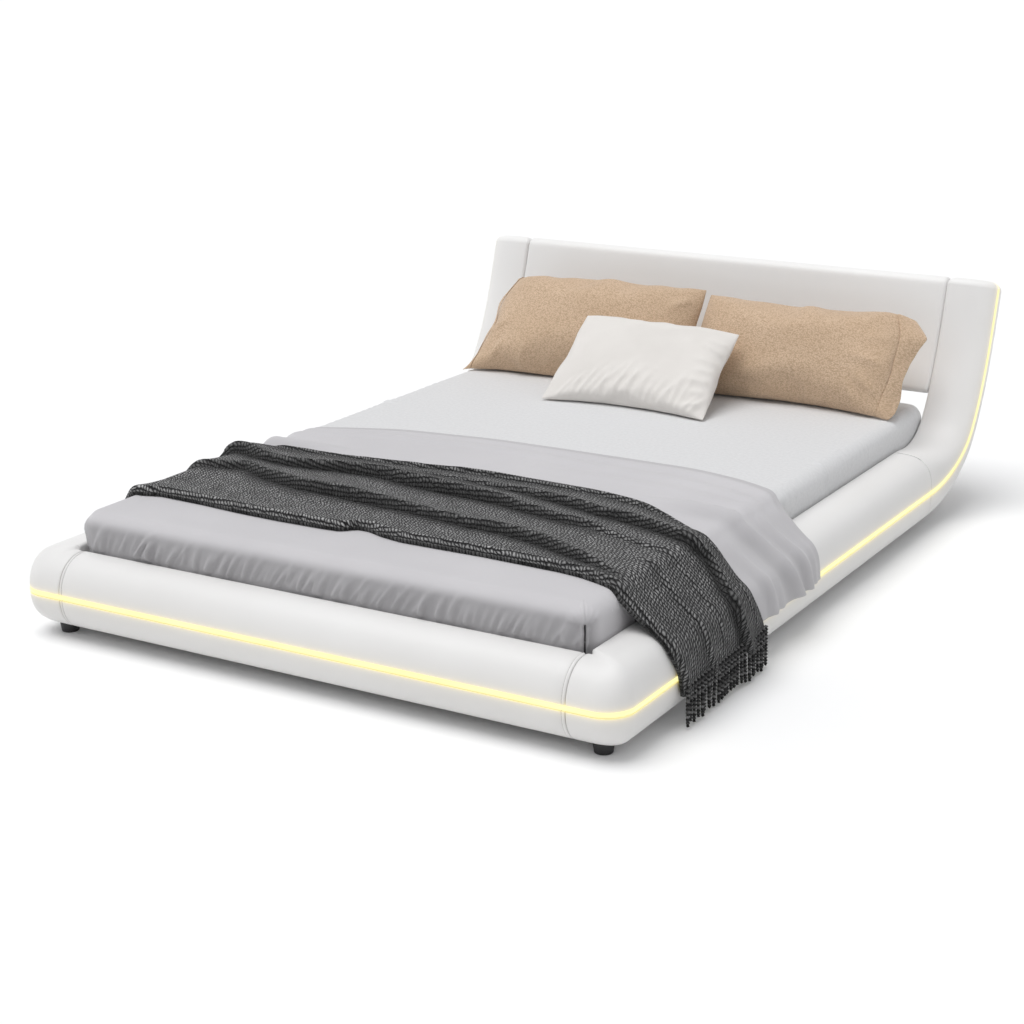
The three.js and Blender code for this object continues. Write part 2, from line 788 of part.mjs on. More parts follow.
function throwSolid() {
  const profile = throwProfile();
  const lengths = profile.map((p, i) => (i ? p.distanceTo(profile[i - 1]) : 0));
  const total = lengths.reduce((sum, x) => sum + x, 0);
  let run = 0;
  const shares = lengths.map((x) => (run += x) / total);
  const outward = profile.map((_, i) => {
    const next = profile[Math.min(i + 1, profile.length - 1)];
    const step = next.clone().sub(profile[Math.max(i - 1, 0)]);
    return point2(-step.y, step.x).normalize();
  });
  const grid = Array.from({ length: throwRows + 1 }, (_, i) => profile.map((p, j) => {
    const along = i / throwRows;
    const nearY = alongMattress(lerpShares(throwNearShares, shares[j]));
    const farY = alongMattress(lerpShares(throwFarShares, shares[j]));
    const lift = foldAt(shares[j], along);
    return new THREE.Vector3(
      p.x + outward[j].x * lift,
      THREE.MathUtils.lerp(nearY, farY, along),
      p.y + outward[j].y * lift,
    );
  }));
  return sheetSolid(grid, throwThickness);
}

// Fringe: one comb of strands below each hem, each strand as shares of its pitch
const strandShares = [0, 0.1, 0.62, 0.8];
function fringe(side) {
  const end = side > 0 ? 1 : 0;
  const nearY = alongMattress(lerpShares(throwNearShares, end));
  const farY = alongMattress(lerpShares(throwFarShares, end));
  const pitch = (farY - nearY) / fringeCount;
  const top = throwHemHeight - 2 * fit;
  const tip = top - fringeLength;
  const root = top - fringeBand;
  const outline = [point2(farY, top), point2(nearY, top)];
  for (let i = 0; i < fringeCount; i += 1) {
    const [rootStart, tipStart, tipEnd, rootEnd] = strandShares.map((share) => (
      nearY + pitch * (i + share)
    ));
    outline.push(point2(rootStart, root), point2(tipStart, tip), point2(tipEnd, tip), point2(rootEnd, root));
  }
  outline.push(point2(farY, root));
  const settle = throwSettle + stripProud + throwThickness / 2;
  return extrude(outline, fringeThickness)
    .rotateX(Math.PI / 2).rotateZ(Math.PI / 2)
    .translate(side * (railInnerX + sideSection.width + settle), 0, 0);
}

// A stuffed case: crowned faces, drawn-in sides, and a flat flange past one end where it has one
const cushionSteps = 12;
const drawnInShare = 0.07;
const crownPower = 2.6;

function stuffedCase(width, height, thickness, flange, flangeSide) {
  const stuffed = width - flange;
  const middle = -flangeSide * flange / 2;
  const place = (i, j) => {
    const [a, b] = [2 * i / cushionSteps - 1, 2 * j / cushionSteps - 1];
    const x = width / 2 * a * (1 - drawnInShare * (1 - b * b));
    const y = height / 2 * b * (1 - drawnInShare * (1 - a * a));
    const inX = THREE.MathUtils.clamp((x - middle) / (stuffed / 2), -1, 1);
    const crown = Math.sqrt((1 - Math.abs(inX) ** crownPower) * (1 - Math.abs(b) ** crownPower));
    return { x, y, lift: pieceSeam / 2 + (thickness - pieceSeam) / 2 * crown };
  };
  const count = cushionSteps + 1;
  const layer = (sign) => Array.from({ length: count * count }, (_, k) => {
    const { x, y, lift } = place(Math.floor(k / count), k % count);
    return new THREE.Vector3(x, y, sign * lift);
  });
  const points = [...layer(-1), ...layer(1)];
  const low = (i, j) => i * count + j;
  const high = (i, j) => count * count + low(i, j);
  const faces = [];
  for (let i = 0; i < cushionSteps; i += 1) {
    for (let j = 0; j < cushionSteps; j += 1) {
      faces.push([low(i, j), low(i, j + 1), low(i + 1, j + 1)], [low(i, j), low(i + 1, j + 1), low(i + 1, j)]);
      faces.push([high(i, j), high(i + 1, j), high(i + 1, j + 1)], [high(i, j), high(i + 1, j + 1), high(i, j + 1)]);
    }
  }
  const wall = (a, b, c, d) => faces.push([a, b, c], [a, c, d]);
  for (let k = 0; k < cushionSteps; k += 1) {
    wall(low(k, 0), low(k + 1, 0), high(k + 1, 0), high(k, 0));
    wall(low(k + 1, cushionSteps), low(k, cushionSteps), high(k, cushionSteps), high(k + 1, cushionSteps));
    wall(low(0, k + 1), low(0, k), high(0, k), high(0, k + 1));
    wall(low(cushionSteps, k), low(cushionSteps, k + 1), high(cushionSteps, k + 1), high(cushionSteps, k));
  }
  return facesToGeometry(points, faces);
}

// Leaned back from the upright about its middle, then set down on the sheet
const sheetTopZ = mattressTopZ + fittedTop;
const pillowLeanDegrees = 46;
const cushionLeanDegrees = 55;

function leanBack(geometry, leanDegrees, x, centreY) {
  geometry.rotateX(Math.PI / 2 - THREE.MathUtils.degToRad(leanDegrees));
  geometry.computeBoundingBox();
  return geometry.translate(x, centreY, sheetTopZ + fit - geometry.boundingBox.min.z);
}

function pillow(side) {
  const geometry = stuffedCase(pillowWidth, pillowHeight, pillowThickness, pillowFlange, side);
  const x = side * (pillowWidth + pillowMiddleGap) / 2 + pillowShift;
  return leanBack(geometry, pillowLeanDegrees, x, headInnerY - pillowFromHead);
}

function smallCushion() {
  const geometry = stuffedCase(cushionWidth, cushionHeight, cushionThickness, 0, 0);
  return leanBack(geometry, cushionLeanDegrees, cushionShift, headInnerY - cushionFromHead);
}

// Assembly

addPiece('foot_rail', footRail(), 'leather');
addPiece('led_strip_foot', footStrip(), 'light');
addPiece('headboard_panel', headPanel(), 'leather');
addPiece('head_cross_rail', crossRail(), 'slatWood');
addPiece('centre_beam', centreBeam(), 'steel');
addPiece('light_controller', controller(), 'blackPlastic');

Object.entries(sides).forEach(([name, side]) => {
  addPiece(`side_rail_${name}`, sideRail(side), 'leather');
  addPiece(`riser_${name}`, riser(side), 'leather');
  addPiece(`led_strip_${name}`, sideStrip(side), 'light');
  addPiece(`slat_ledger_${name}`, ledger(side), 'steel');
  addPiece(`corner_plate_${name}`, cornerPlate(side), 'steel');
  panelBracketShares.forEach((share, i) => {
    addPiece(`panel_bracket_${i ? 'upper' : 'lower'}_${name}`, panelBracket(side, share), 'steel');
  });
  const front = addPiece(`foot_front_${name}`, roundFoot(), 'blackPlastic');
  front.position.set(
    side * (railInnerX + frontFootOut),
    footInnerY - frontFootForward,
    0,
  );
  const rear = addPiece(`foot_rear_${name}`, roundFoot(), 'blackPlastic');
  rear.position.set(side * (railInnerX + rearFootOut), riserStartY - rearFootFromSeam, 0);
});

const slatStep = (clearLength - firstSlatSetback - lastSlatSetback) / (slatCount - 1);
for (let i = 0; i < slatCount; i += 1) {
  const board = addPiece(`slat_${String(i + 1).padStart(2, '0')}`, slat(), 'slatWood');
  board.position.set(0, footInnerY + firstSlatSetback + i * slatStep, platformHeight - slatThickness / 2);
}

for (let i = 0; i < legCount; i += 1) {
  const leg = addPiece(`centre_leg_${i + 1}`, centreLeg(), 'blackPlastic');
  leg.position.y = ((i + 1) / (legCount + 1) - 0.5) * beamLength;
}

const mattressSolid = softBlock(0, platformHeight + fit, mattressTopZ);
addPiece('mattress', mattressSolid, 'mattress');
addPiece('fitted_sheet', coverShell(fit, fittedSheet, platformHeight + mattressEdge + fit), 'fittedSheet');
addPiece('flat_sheet', flatSheetSolid(), 'flatSheet');
addPiece('throw', throwSolid(), 'throw');
addPiece('small_cushion', smallCushion(), 'cushion');
Object.entries(sides).forEach(([name, side]) => {
  addPiece(`throw_fringe_${name}`, fringe(side), 'throw');
  addPiece(`pillow_${name}`, pillow(side), 'pillow');
});

// The origin is on the floor, below the middle of the whole outline
bed.updateMatrixWorld(true);
const middle = new THREE.Box3().setFromObject(bed, true).getCenter(new THREE.Vector3());
bed.position.y = -middle.y;
const model = new THREE.Group();
model.add(bed);

export default model;
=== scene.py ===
# %% [markdown]
# # A low upholstered bed with its bedding
#
# A double bed: wide padded rails in white faux leather, a light line that runs round them, and a
# headboard that grows out of the side rails in one sweep. It is dressed with a fitted sheet, a
# flat sheet, a knitted throw with a fringe, two large pillows and a small cushion.
#
# The measured model is loaded first. It fixes every size and place, so each cell below only makes
# a finer surface, and a finish, for a piece that is already there.

# %% Load the measured model
import math

import bmesh
import bpy
import numpy as np
from mathutils import Matrix, Vector, noise


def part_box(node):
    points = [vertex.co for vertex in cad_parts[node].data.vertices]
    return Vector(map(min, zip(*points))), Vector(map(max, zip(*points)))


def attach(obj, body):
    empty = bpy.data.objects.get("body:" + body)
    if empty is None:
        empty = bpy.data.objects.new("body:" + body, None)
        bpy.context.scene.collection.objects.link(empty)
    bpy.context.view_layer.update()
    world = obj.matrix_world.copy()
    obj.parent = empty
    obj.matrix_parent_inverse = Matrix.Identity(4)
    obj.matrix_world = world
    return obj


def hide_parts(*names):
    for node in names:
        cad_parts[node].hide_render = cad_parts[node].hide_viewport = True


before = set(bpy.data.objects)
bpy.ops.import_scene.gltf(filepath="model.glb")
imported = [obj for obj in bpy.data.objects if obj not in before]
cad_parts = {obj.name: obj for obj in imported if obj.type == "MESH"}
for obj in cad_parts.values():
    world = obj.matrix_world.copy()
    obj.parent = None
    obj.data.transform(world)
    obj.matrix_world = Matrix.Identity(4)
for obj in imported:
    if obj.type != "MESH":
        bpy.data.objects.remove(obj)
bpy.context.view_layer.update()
mattress_low, mattress_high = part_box("mattress")
MIDDLE_Y = (mattress_low.y + mattress_high.y) / 2
print("middle of the mattress at y =", round(MIDDLE_Y, 4))

# %% [markdown]
# ## Camera
#
# The photograph looks down a little on the bed from beyond its right front corner, through a
# fairly long lens. Its picture is cut off-centre, which the camera's shift repeats. Places are
# written from the middle of the mattress, in metres, here and in every later cell.

# %% Camera
EYE = Vector((2.5721, -4.4270 + MIDDLE_Y, 1.7215))
AIM = Vector((0.10992, -0.06162 + MIDDLE_Y, 0.170))
LENS_MM, PICTURE_WIDTH, AXIS_COLUMN = 70.867, 1024, 568


def new_object(name, data):
    made = bpy.data.objects.new(name, data)
    bpy.context.scene.collection.objects.link(made)
    return made


camera_data = bpy.data.cameras.new("camera")
camera_data.lens = LENS_MM
camera_data.shift_x = (PICTURE_WIDTH / 2 - AXIS_COLUMN) / PICTURE_WIDTH
camera = new_object("camera", camera_data)
camera.location = EYE
camera.rotation_euler = (AIM - EYE).to_track_quat("-Z", "Y").to_euler()
bpy.context.scene.camera = camera
print("camera distance:", round((AIM - EYE).length, 3), "m")

# %% [markdown]
# ## Node helpers
#
# A material is a small network. A few helpers keep the networks readable: one places a node with
# its settings and its inputs, one starts a group with named inputs and outputs, and one mixes two
# colours.

# %% Node helpers
def place(tree, kind, inputs=(), **settings):
    node = tree.nodes.new(kind)
    for name, value in settings.items():
        setattr(node, name, value)
    for key, value in dict(inputs).items():
        if isinstance(value, bpy.types.NodeSocket):
            tree.links.new(value, node.inputs[key])
        else:
            node.inputs[key].default_value = value
    return node


def math_node(tree, operation, *values, clamp=False):
    inputs = {i: v for i, v in enumerate(values)}
    return place(tree, "ShaderNodeMath", inputs, operation=operation, use_clamp=clamp).outputs[0]


def start_group(name, inputs, outputs, kind="ShaderNodeTree"):
    tree = bpy.data.node_groups.new(name, kind)
    for label, socket, value in inputs:
        made = tree.interface.new_socket(label, in_out="INPUT", socket_type=socket)
        if value is not None:
            made.default_value = value
    for label, socket in outputs:
        tree.interface.new_socket(label, in_out="OUTPUT", socket_type=socket)
    return tree, tree.nodes.new("NodeGroupInput"), tree.nodes.new("NodeGroupOutput")


def use_group(tree, group, inputs):
    return place(tree, "ShaderNodeGroup", inputs, node_tree=group)


def blend(tree, factor, first, second):
    """The first colour where factor is 0, and the second where it is 1."""
    return place(tree, "ShaderNodeMix", {0: factor, 6: first, 7: second}, data_type="RGBA").outputs[2]


def mesh_field(tree, name):
    """What the mesh says at each point in its field of that name."""
    return place(tree, "ShaderNodeAttribute", attribute_name=name).outputs["Fac"]

# %% [markdown]
# ## Shared effects
#
# - **Pebble** is the fine grain of faux leather and of moulded plastic, and at a larger scale the
#   crinkled weave of the big pillows, whose hollows it also darkens as painted shade.
# - **Weave** is plain cloth: two crossing sets of threads with uneven thickness.
# - **Tone** varies a colour slowly over a surface, as real cloth and leather do.
# - **Knit** is columns of round, slanting beads of yarn, for the throw, with painted shade between the beads.

# %% Shared effect: pebble
pebble, p_in, p_out = start_group(
    "Pebble",
    [("Vector", "NodeSocketVector", None), ("Cells", "NodeSocketFloat", 900.0), ("Stretch", "NodeSocketFloat", 1.0)],
    [("Height", "NodeSocketFloat"), ("Valley", "NodeSocketFloat")],
)
split = place(pebble, "ShaderNodeSeparateXYZ", {0: p_in.outputs["Vector"]})
pulled = place(pebble, "ShaderNodeCombineXYZ", {
    0: math_node(pebble, "DIVIDE", split.outputs[0], p_in.outputs["Stretch"]),
    1: split.outputs[1], 2: split.outputs[2],
})
cells = place(pebble, "ShaderNodeTexVoronoi", {"Vector": pulled.outputs[0], "Scale": p_in.outputs["Cells"]})
fine = place(pebble, "ShaderNodeTexNoise", {
    "Vector": pulled.outputs[0], "Scale": p_in.outputs["Cells"], "Detail": 2.0,
})
dome = math_node(pebble, "SUBTRACT", 1.0, cells.outputs["Distance"], clamp=True)
height = math_node(pebble, "MULTIPLY_ADD", fine.outputs["Fac"], 0.3, dome)
pebble.links.new(height, p_out.inputs["Height"])
# Painted shade in the hollows between the cells.
valley = place(pebble, "ShaderNodeMapRange", {0: dome, 1: 0.25, 2: 0.75, 3: 0.0, 4: 1.0})
pebble.links.new(valley.outputs[0], p_out.inputs["Valley"])

# %% Shared effect: weave
weave, w_in, w_out = start_group(
    "Weave",
    [("Vector", "NodeSocketVector", None), ("Threads per metre", "NodeSocketFloat", 900.0),
     ("Unevenness", "NodeSocketFloat", 0.35)],
    [("Height", "NodeSocketFloat")],
)
across = place(weave, "ShaderNodeSeparateXYZ", {0: w_in.outputs["Vector"]})
turn = math_node(weave, "MULTIPLY", w_in.outputs["Threads per metre"], math.pi)
warp, weft = (
    math_node(weave, "ABSOLUTE", math_node(weave, "SINE", math_node(weave, "MULTIPLY", across.outputs[k], turn)))
    for k in (0, 1)
)
threads = math_node(weave, "MAXIMUM", warp, weft)
slub = place(weave, "ShaderNodeTexNoise", {
    "Vector": w_in.outputs["Vector"], "Scale": 160.0, "Detail": 3.0,
})
uneven = math_node(weave, "MULTIPLY", slub.outputs["Fac"], w_in.outputs["Unevenness"])
weave.links.new(math_node(weave, "ADD", threads, uneven), w_out.inputs["Height"])

# %% Shared effect: tone
tone, t_in, t_out = start_group(
    "Tone",
    [("Vector", "NodeSocketVector", None), ("Patches per metre", "NodeSocketFloat", 5.0),
     ("Light colour", "NodeSocketColor", None), ("Dark colour", "NodeSocketColor", None)],
    [("Colour", "NodeSocketColor"), ("Mask", "NodeSocketFloat")],
)
cloud = place(tone, "ShaderNodeTexNoise", {
    "Vector": t_in.outputs["Vector"], "Scale": t_in.outputs["Patches per metre"], "Detail": 4.0,
})
spread = place(tone, "ShaderNodeMapRange", {0: cloud.outputs["Fac"], 1: 0.3, 2: 0.7})
mixed = blend(tone, spread.outputs[0], t_in.outputs["Dark colour"], t_in.outputs["Light colour"])
tone.links.new(mixed, t_out.inputs["Colour"])
tone.links.new(spread.outputs[0], t_out.inputs["Mask"])

# %% Shared effect: knit
knit, k_in, k_out = start_group(
    "Knit",
    [("Vector", "NodeSocketVector", None), ("Row width", "NodeSocketFloat", 0.0125),
     ("Stitch length", "NodeSocketFloat", 0.009), ("Slant", "NodeSocketFloat", 1.0)],
    [("Height", "NodeSocketFloat"), ("Valley", "NodeSocketFloat")],
)
wander = place(knit, "ShaderNodeTexNoise", {"Vector": k_in.outputs["Vector"], "Scale": 45.0, "Detail": 1.0})
plane = place(knit, "ShaderNodeSeparateXYZ", {0: k_in.outputs["Vector"]})
row = math_node(knit, "DIVIDE", plane.outputs[1], k_in.outputs["Row width"])
row = math_node(knit, "MULTIPLY_ADD", wander.outputs["Fac"], 0.8, row)
side = math_node(knit, "FRACT", row)
run = math_node(knit, "DIVIDE", plane.outputs[0], k_in.outputs["Stitch length"])
run = math_node(knit, "MULTIPLY_ADD", side, k_in.outputs["Slant"], run)
run = math_node(knit, "MULTIPLY_ADD", math_node(knit, "FLOOR", row), 0.37, run)
run = math_node(knit, "MULTIPLY_ADD", wander.outputs["Fac"], 1.3, run)
along = math_node(knit, "SINE", math_node(knit, "MULTIPLY", math_node(knit, "FRACT", run), math.pi))
legs = math_node(knit, "SINE", math_node(knit, "MULTIPLY", side, math.pi))
stitch = math_node(knit, "MULTIPLY", math_node(knit, "POWER", along, 0.7), math_node(knit, "POWER", legs, 0.7))
fuzz = place(knit, "ShaderNodeTexNoise", {"Vector": k_in.outputs["Vector"], "Scale": 900.0, "Detail": 2.0})
knit.links.new(math_node(knit, "MULTIPLY_ADD", fuzz.outputs["Fac"], 0.25, stitch), k_out.inputs["Height"])
lumps = place(knit, "ShaderNodeTexNoise", {"Vector": k_in.outputs["Vector"], "Scale": 170.0, "Detail": 1.0})
# Painted shade between the stitches: 1 in the hollows, 0 on top of the beads.
lowered = math_node(knit, "SUBTRACT", stitch, 0.45)
uneven_stitch = math_node(knit, "MULTIPLY_ADD", lumps.outputs["Fac"], 0.9, lowered)
deep = place(knit, "ShaderNodeMapRange", {0: uneven_stitch, 1: 0.40, 2: 1.0, 3: 1.0, 4: 0.0})
knit.links.new(deep.outputs[0], k_out.inputs["Valley"])

# %% [markdown]
# ## Finishes
#
# Each finish is a material of its own with one Principled shader. What changes over the surface
# comes from the groups, and what is the same all over is set on the shader itself.

# %% Start of a finish
def start_finish(name, coordinates="Object", roughness=0.6, specular=0.5):
    material = bpy.data.materials.new(name)
    material.use_nodes = True
    tree = material.node_tree
    shader = tree.nodes["Principled BSDF"]
    shader.inputs["Roughness"].default_value = roughness
    shader.inputs["Specular IOR Level"].default_value = specular
    vector = place(tree, "ShaderNodeTexCoord").outputs[coordinates]
    return material, tree, shader, vector


def add_bump(tree, shader, height, distance, strength):
    bump = place(tree, "ShaderNodeBump", {"Height": height, "Distance": distance, "Strength": strength})
    tree.links.new(bump.outputs[0], shader.inputs["Normal"])


def varied(tree, vector, light, dark, patches):
    return use_group(tree, tone, {
        "Vector": vector, "Light colour": (*light, 1), "Dark colour": (*dark, 1), "Patches per metre": patches,
    })


def colour_with(tree, shader, colour):
    tree.links.new(colour, shader.inputs["Base Color"])


def add_tone(tree, shader, vector, light, dark, patches):
    colour_with(tree, shader, varied(tree, vector, light, dark, patches).outputs["Colour"])

# %% Finish: white faux leather, with a painted glow where the light line grazes it, and painted shade in its seams and towards the floor
# The field named glow holds the painted glow of the light line on the leather. The field named fold holds painted
# shade: in the leather's seams and towards the floor, in the flat sheet's slit, hem and falls, in the throw's folds
# and falls, and over the fringe.
GLOW, PAINTED_SHADE = "glow", "fold"

white_leather, tree, shader, vector = start_finish("white_leather", roughness=0.42, specular=0.35)
ground = varied(tree, vector, (0.86, 0.852, 0.842), (0.828, 0.818, 0.806), 3.0).outputs["Colour"]
# Painted shade: the leather turns dark grey by its shade field, in the seams and towards the floor.
colour_with(tree, shader, blend(tree, mesh_field(tree, PAINTED_SHADE), ground, (0.2, 0.195, 0.19, 1)))
grain = use_group(tree, pebble, {"Vector": vector, "Cells": 700.0})
add_bump(tree, shader, grain.outputs["Height"], 0.00012, 0.5)
# Painted glow: the leather emits warm light by its glow field, near the light line.
painted_glow = blend(tree, mesh_field(tree, GLOW), (0, 0, 0, 1), (0.38, 0.27, 0.0, 1))
tree.links.new(painted_glow, shader.inputs["Emission Color"])
shader.inputs["Emission Strength"].default_value = 1.0

# %% Finish: lit diffuser strip
light_strip, tree, shader, vector = start_finish("light_strip", roughness=0.4)
shader.inputs["Base Color"].default_value = (0.1, 0.095, 0.06, 1)
brightness = varied(tree, vector, (1.0, 0.955, 0.50), (0.98, 0.92, 0.43), 9.0)
tree.links.new(brightness.outputs["Colour"], shader.inputs["Emission Color"])
shader.inputs["Emission Strength"].default_value = 1.0

# %% Finish: black plastic
black_plastic, tree, shader, vector = start_finish("black_plastic", roughness=0.5)
add_tone(tree, shader, vector, (0.02, 0.02, 0.022), (0.012, 0.012, 0.013), 30.0)
grain = use_group(tree, pebble, {"Vector": vector, "Cells": 1600.0})
add_bump(tree, shader, grain.outputs["Height"], 0.0001, 0.6)

# %% Finish: laminated wood of the slats
slat_wood, tree, shader, vector = start_finish("slat_wood", roughness=0.55)
stretched = place(tree, "ShaderNodeMapping", {"Vector": vector, "Scale": (1.2, 22.0, 60.0)})
growth = varied(tree, stretched.outputs[0], (0.68, 0.5, 0.31), (0.5, 0.34, 0.19), 1.6)
colour_with(tree, shader, growth.outputs["Colour"])
add_bump(tree, shader, growth.outputs["Mask"], 0.0003, 0.4)

# %% Finish: powder-coated steel
steel, tree, shader, vector = start_finish("steel", roughness=0.42)
add_tone(tree, shader, vector, (0.035, 0.035, 0.038), (0.022, 0.022, 0.025), 12.0)
grain = use_group(tree, pebble, {"Vector": vector, "Cells": 2200.0})
add_bump(tree, shader, grain.outputs["Height"], 0.00008, 0.5)

# %% Finishes of plain cloth: the sheets, the mattress and the small cushion
def plain_cloth(name, light, dark, threads, relief, patches, deep=None):
    """deep is the colour of painted shade, mixed in as far as the mesh's shade field says."""
    material, tree, shader, vector = start_finish(name, "UV", roughness=0.85, specular=0.25)
    ground = varied(tree, vector, light, dark, patches).outputs["Colour"]
    colour_with(tree, shader, blend(tree, mesh_field(tree, PAINTED_SHADE), ground, (*deep, 1)) if deep else ground)
    cloth = use_group(tree, weave, {"Vector": vector, "Threads per metre": threads, "Unevenness": 0.35})
    add_bump(tree, shader, cloth.outputs["Height"], relief, 0.6)
    shader.inputs["Sheen Weight"].default_value = 0.3
    shader.inputs["Sheen Roughness"].default_value = 0.5
    return material


fitted_cloth = plain_cloth("fitted_sheet", (0.745, 0.745, 0.75), (0.685, 0.685, 0.69), 420.0, 0.0005, 110.0)
# The flat sheet's deep colour is near-black painted shade, in its slit, behind its hem and on its falls.
flat_cloth = plain_cloth("flat_sheet", (0.605, 0.592, 0.607), (0.567, 0.554, 0.57), 1100.0, 0.0002, 3.0,
                         deep=(0.012, 0.011, 0.012))
mattress_cloth = plain_cloth("mattress_fabric", (0.78, 0.765, 0.74), (0.7, 0.69, 0.665), 350.0, 0.0006, 6.0)
cushion_cloth = plain_cloth("cushion_fabric", (0.80, 0.77, 0.735), (0.76, 0.73, 0.695), 800.0, 0.0003, 9.0)

# %% Finish: crinkled weave of the large pillows
pillow_weave, tree, shader, vector = start_finish("pillow_weave", "UV", roughness=0.95, specular=0.2)
crinkle = use_group(tree, pebble, {"Vector": vector, "Cells": 400.0, "Stretch": 1.7})
ground = varied(tree, vector, (0.73, 0.55, 0.395), (0.66, 0.485, 0.335), 9.0).outputs["Colour"]
# Painted shade: darker brown in the hollows of the crinkle.
colour_with(tree, shader, blend(tree, crinkle.outputs["Valley"], (0.50, 0.355, 0.235, 1), ground))
add_bump(tree, shader, crinkle.outputs["Height"], 0.0013, 0.7)
shader.inputs["Sheen Weight"].default_value = 0.25

# %% Finish: charcoal knit, by the cloth's own map, and its yarn for the fringe
def knitted(name, row_width, stitch_length, relief, slant):
    material, tree, shader, vector = start_finish(name, "UV", roughness=0.95, specular=0.15)
    rows = use_group(tree, knit, {
        "Vector": vector, "Row width": row_width, "Stitch length": stitch_length, "Slant": slant,
    })
    ground = varied(tree, vector, (0.62, 0.615, 0.615), (0.30, 0.297, 0.297), 25.0).outputs["Colour"]
    # Painted shade: near black between the stitches.
    between_stitches = blend(tree, rows.outputs["Valley"], ground, (0.010, 0.010, 0.0105, 1))
    # Painted shade by the mesh's shade field, in the throw's folds and falls and over the fringe.
    colour_with(tree, shader, blend(tree, mesh_field(tree, PAINTED_SHADE), between_stitches, (0.006, 0.006, 0.006, 1)))
    add_bump(tree, shader, rows.outputs["Height"], relief, 1.0)
    shader.inputs["Sheen Weight"].default_value = 0.15
    return material


throw_knit = knitted("throw_knit", 0.0115, 0.0092, 0.006, slant=1.0)
fringe_yarn = knitted("fringe_yarn", 0.5, 0.013, 0.0008, slant=0.0)
thread, tree, shader, vector = start_finish("thread", roughness=0.6)
add_tone(tree, shader, vector, (0.6, 0.59, 0.58), (0.5, 0.49, 0.48), 200.0)
print("finishes:", len(bpy.data.materials))

# %% [markdown]
# ## Mesh helpers
#
# Almost every soft or padded piece here is a net of points in rows, so one helper welds such nets
# into a mesh with its map. The others give a mesh its field, its relief and its thickness, and say
# on which body it rides.

# %% Mesh helpers
SIDES = (("left", -1), ("right", 1))


def add_map(mesh, places):
    """Writes down where each point lies on the flat material, in metres."""
    layer = mesh.uv_layers.new(name="map")
    corner = np.empty(len(mesh.loops), np.int32)
    mesh.loops.foreach_get("vertex_index", corner)
    layer.data.foreach_set("uv", np.asarray(places, np.float32)[corner].ravel())


def weld(name, patches, material, caps=(), close_rows=False, crease=40.0):
    """Patches are nets (points, map, painted glow); caps are the rows of each net that a face closes."""
    verts, faces, maps, extra = [], [], [], []
    for points, flat, *rest in patches:
        rows, columns = points.shape[:2]
        start = len(verts)
        verts += points.reshape(-1, 3).tolist()
        maps += flat.reshape(-1, 2).tolist()
        extra += (rest[0].reshape(-1).tolist() if rest else [0.0] * (rows * columns))
        wrap = columns if close_rows else columns - 1
        for i in range(rows - 1):
            for j in range(wrap):
                a, b = start + i * columns + j, start + i * columns + (j + 1) % columns
                faces.append((a, b, b + columns, a + columns))
        for i in caps:
            faces.append([start + (i % rows) * columns + j for j in range(columns)])
    verts = [(x, y + MIDDLE_Y, z) for x, y, z in verts]
    mesh = bpy.data.meshes.new(name)
    mesh.from_pydata(verts, [], faces)
    add_map(mesh, maps)
    if any(extra):
        field = mesh.attributes.new(GLOW, "FLOAT", "POINT")
        field.data.foreach_set("value", np.array(extra, np.float32))
    return finish_mesh(name, mesh, material, crease)


def finish_mesh(name, mesh, material, crease):
    net = bmesh.new()
    net.from_mesh(mesh)
    bmesh.ops.remove_doubles(net, verts=net.verts, dist=2e-5)
    bmesh.ops.dissolve_degenerate(net, edges=net.edges, dist=1e-6)
    bmesh.ops.recalc_face_normals(net, faces=net.faces)
    net.to_mesh(mesh)
    net.free()
    mesh.shade_smooth()
    mesh.set_sharp_from_angle(angle=math.radians(crease))
    mesh.materials.append(material)
    return new_object(name, mesh)


def local_points(made):
    """Points of a mesh as an array, written from the middle of the mattress."""
    found = np.empty(len(made.data.vertices) * 3)
    made.data.vertices.foreach_get("co", found)
    return found.reshape(-1, 3) - np.array((0, MIDDLE_Y, 0))


def set_field(made, name, values):
    field = made.data.attributes.new(name, "FLOAT", "POINT")
    field.data.foreach_set("value", values.astype(np.float32))


def bake_modifiers(made):
    evaluated = made.evaluated_get(bpy.context.evaluated_depsgraph_get())
    mesh = bpy.data.meshes.new_from_object(evaluated)
    made.modifiers.clear()
    old, made.data = made.data, mesh
    mesh.name = made.name
    bpy.data.meshes.remove(old)


def thicken(made, thickness):
    shell = made.modifiers.new("thickness", "SOLIDIFY")
    shell.thickness, shell.offset, shell.use_even_offset = thickness, 0.0, False
    bake_modifiers(made)


def move_out(made, amount):
    """Moves each point along its normal by amount(points), an array in metres."""
    mesh = made.data
    count = len(mesh.vertices)
    points, normals = np.empty(count * 3), np.empty(count * 3)
    mesh.vertices.foreach_get("co", points)
    mesh.vertex_normals.foreach_get("vector", normals)
    points, normals = points.reshape(-1, 3), normals.reshape(-1, 3)
    local = points - np.array((0, MIDDLE_Y, 0))
    points = points + normals * amount(local)[:, None]
    mesh.vertices.foreach_set("co", points.ravel())
    mesh.update()


def rides(made, body, slot, *replaced):
    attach(made, body)
    if replaced:
        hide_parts(*replaced)
    print(f"{made.name}: {len(made.data.polygons)} faces, rides on {body}")
    return made


def smooth_step(t):
    t = np.clip(t, 0, 1)
    return t * t * (3 - 2 * t)


def run_of(line):
    """How far along a line each of its points lies."""
    return np.concatenate(((0,), np.cumsum(np.linalg.norm(np.diff(line, axis=0), axis=1))))


def clouds(points, scale, seed=0.0):
    """Slow noise from -1 to 1 at each point."""
    return np.array([noise.noise(Vector(p) * scale + Vector((seed, seed * 1.7, 0))) for p in points])

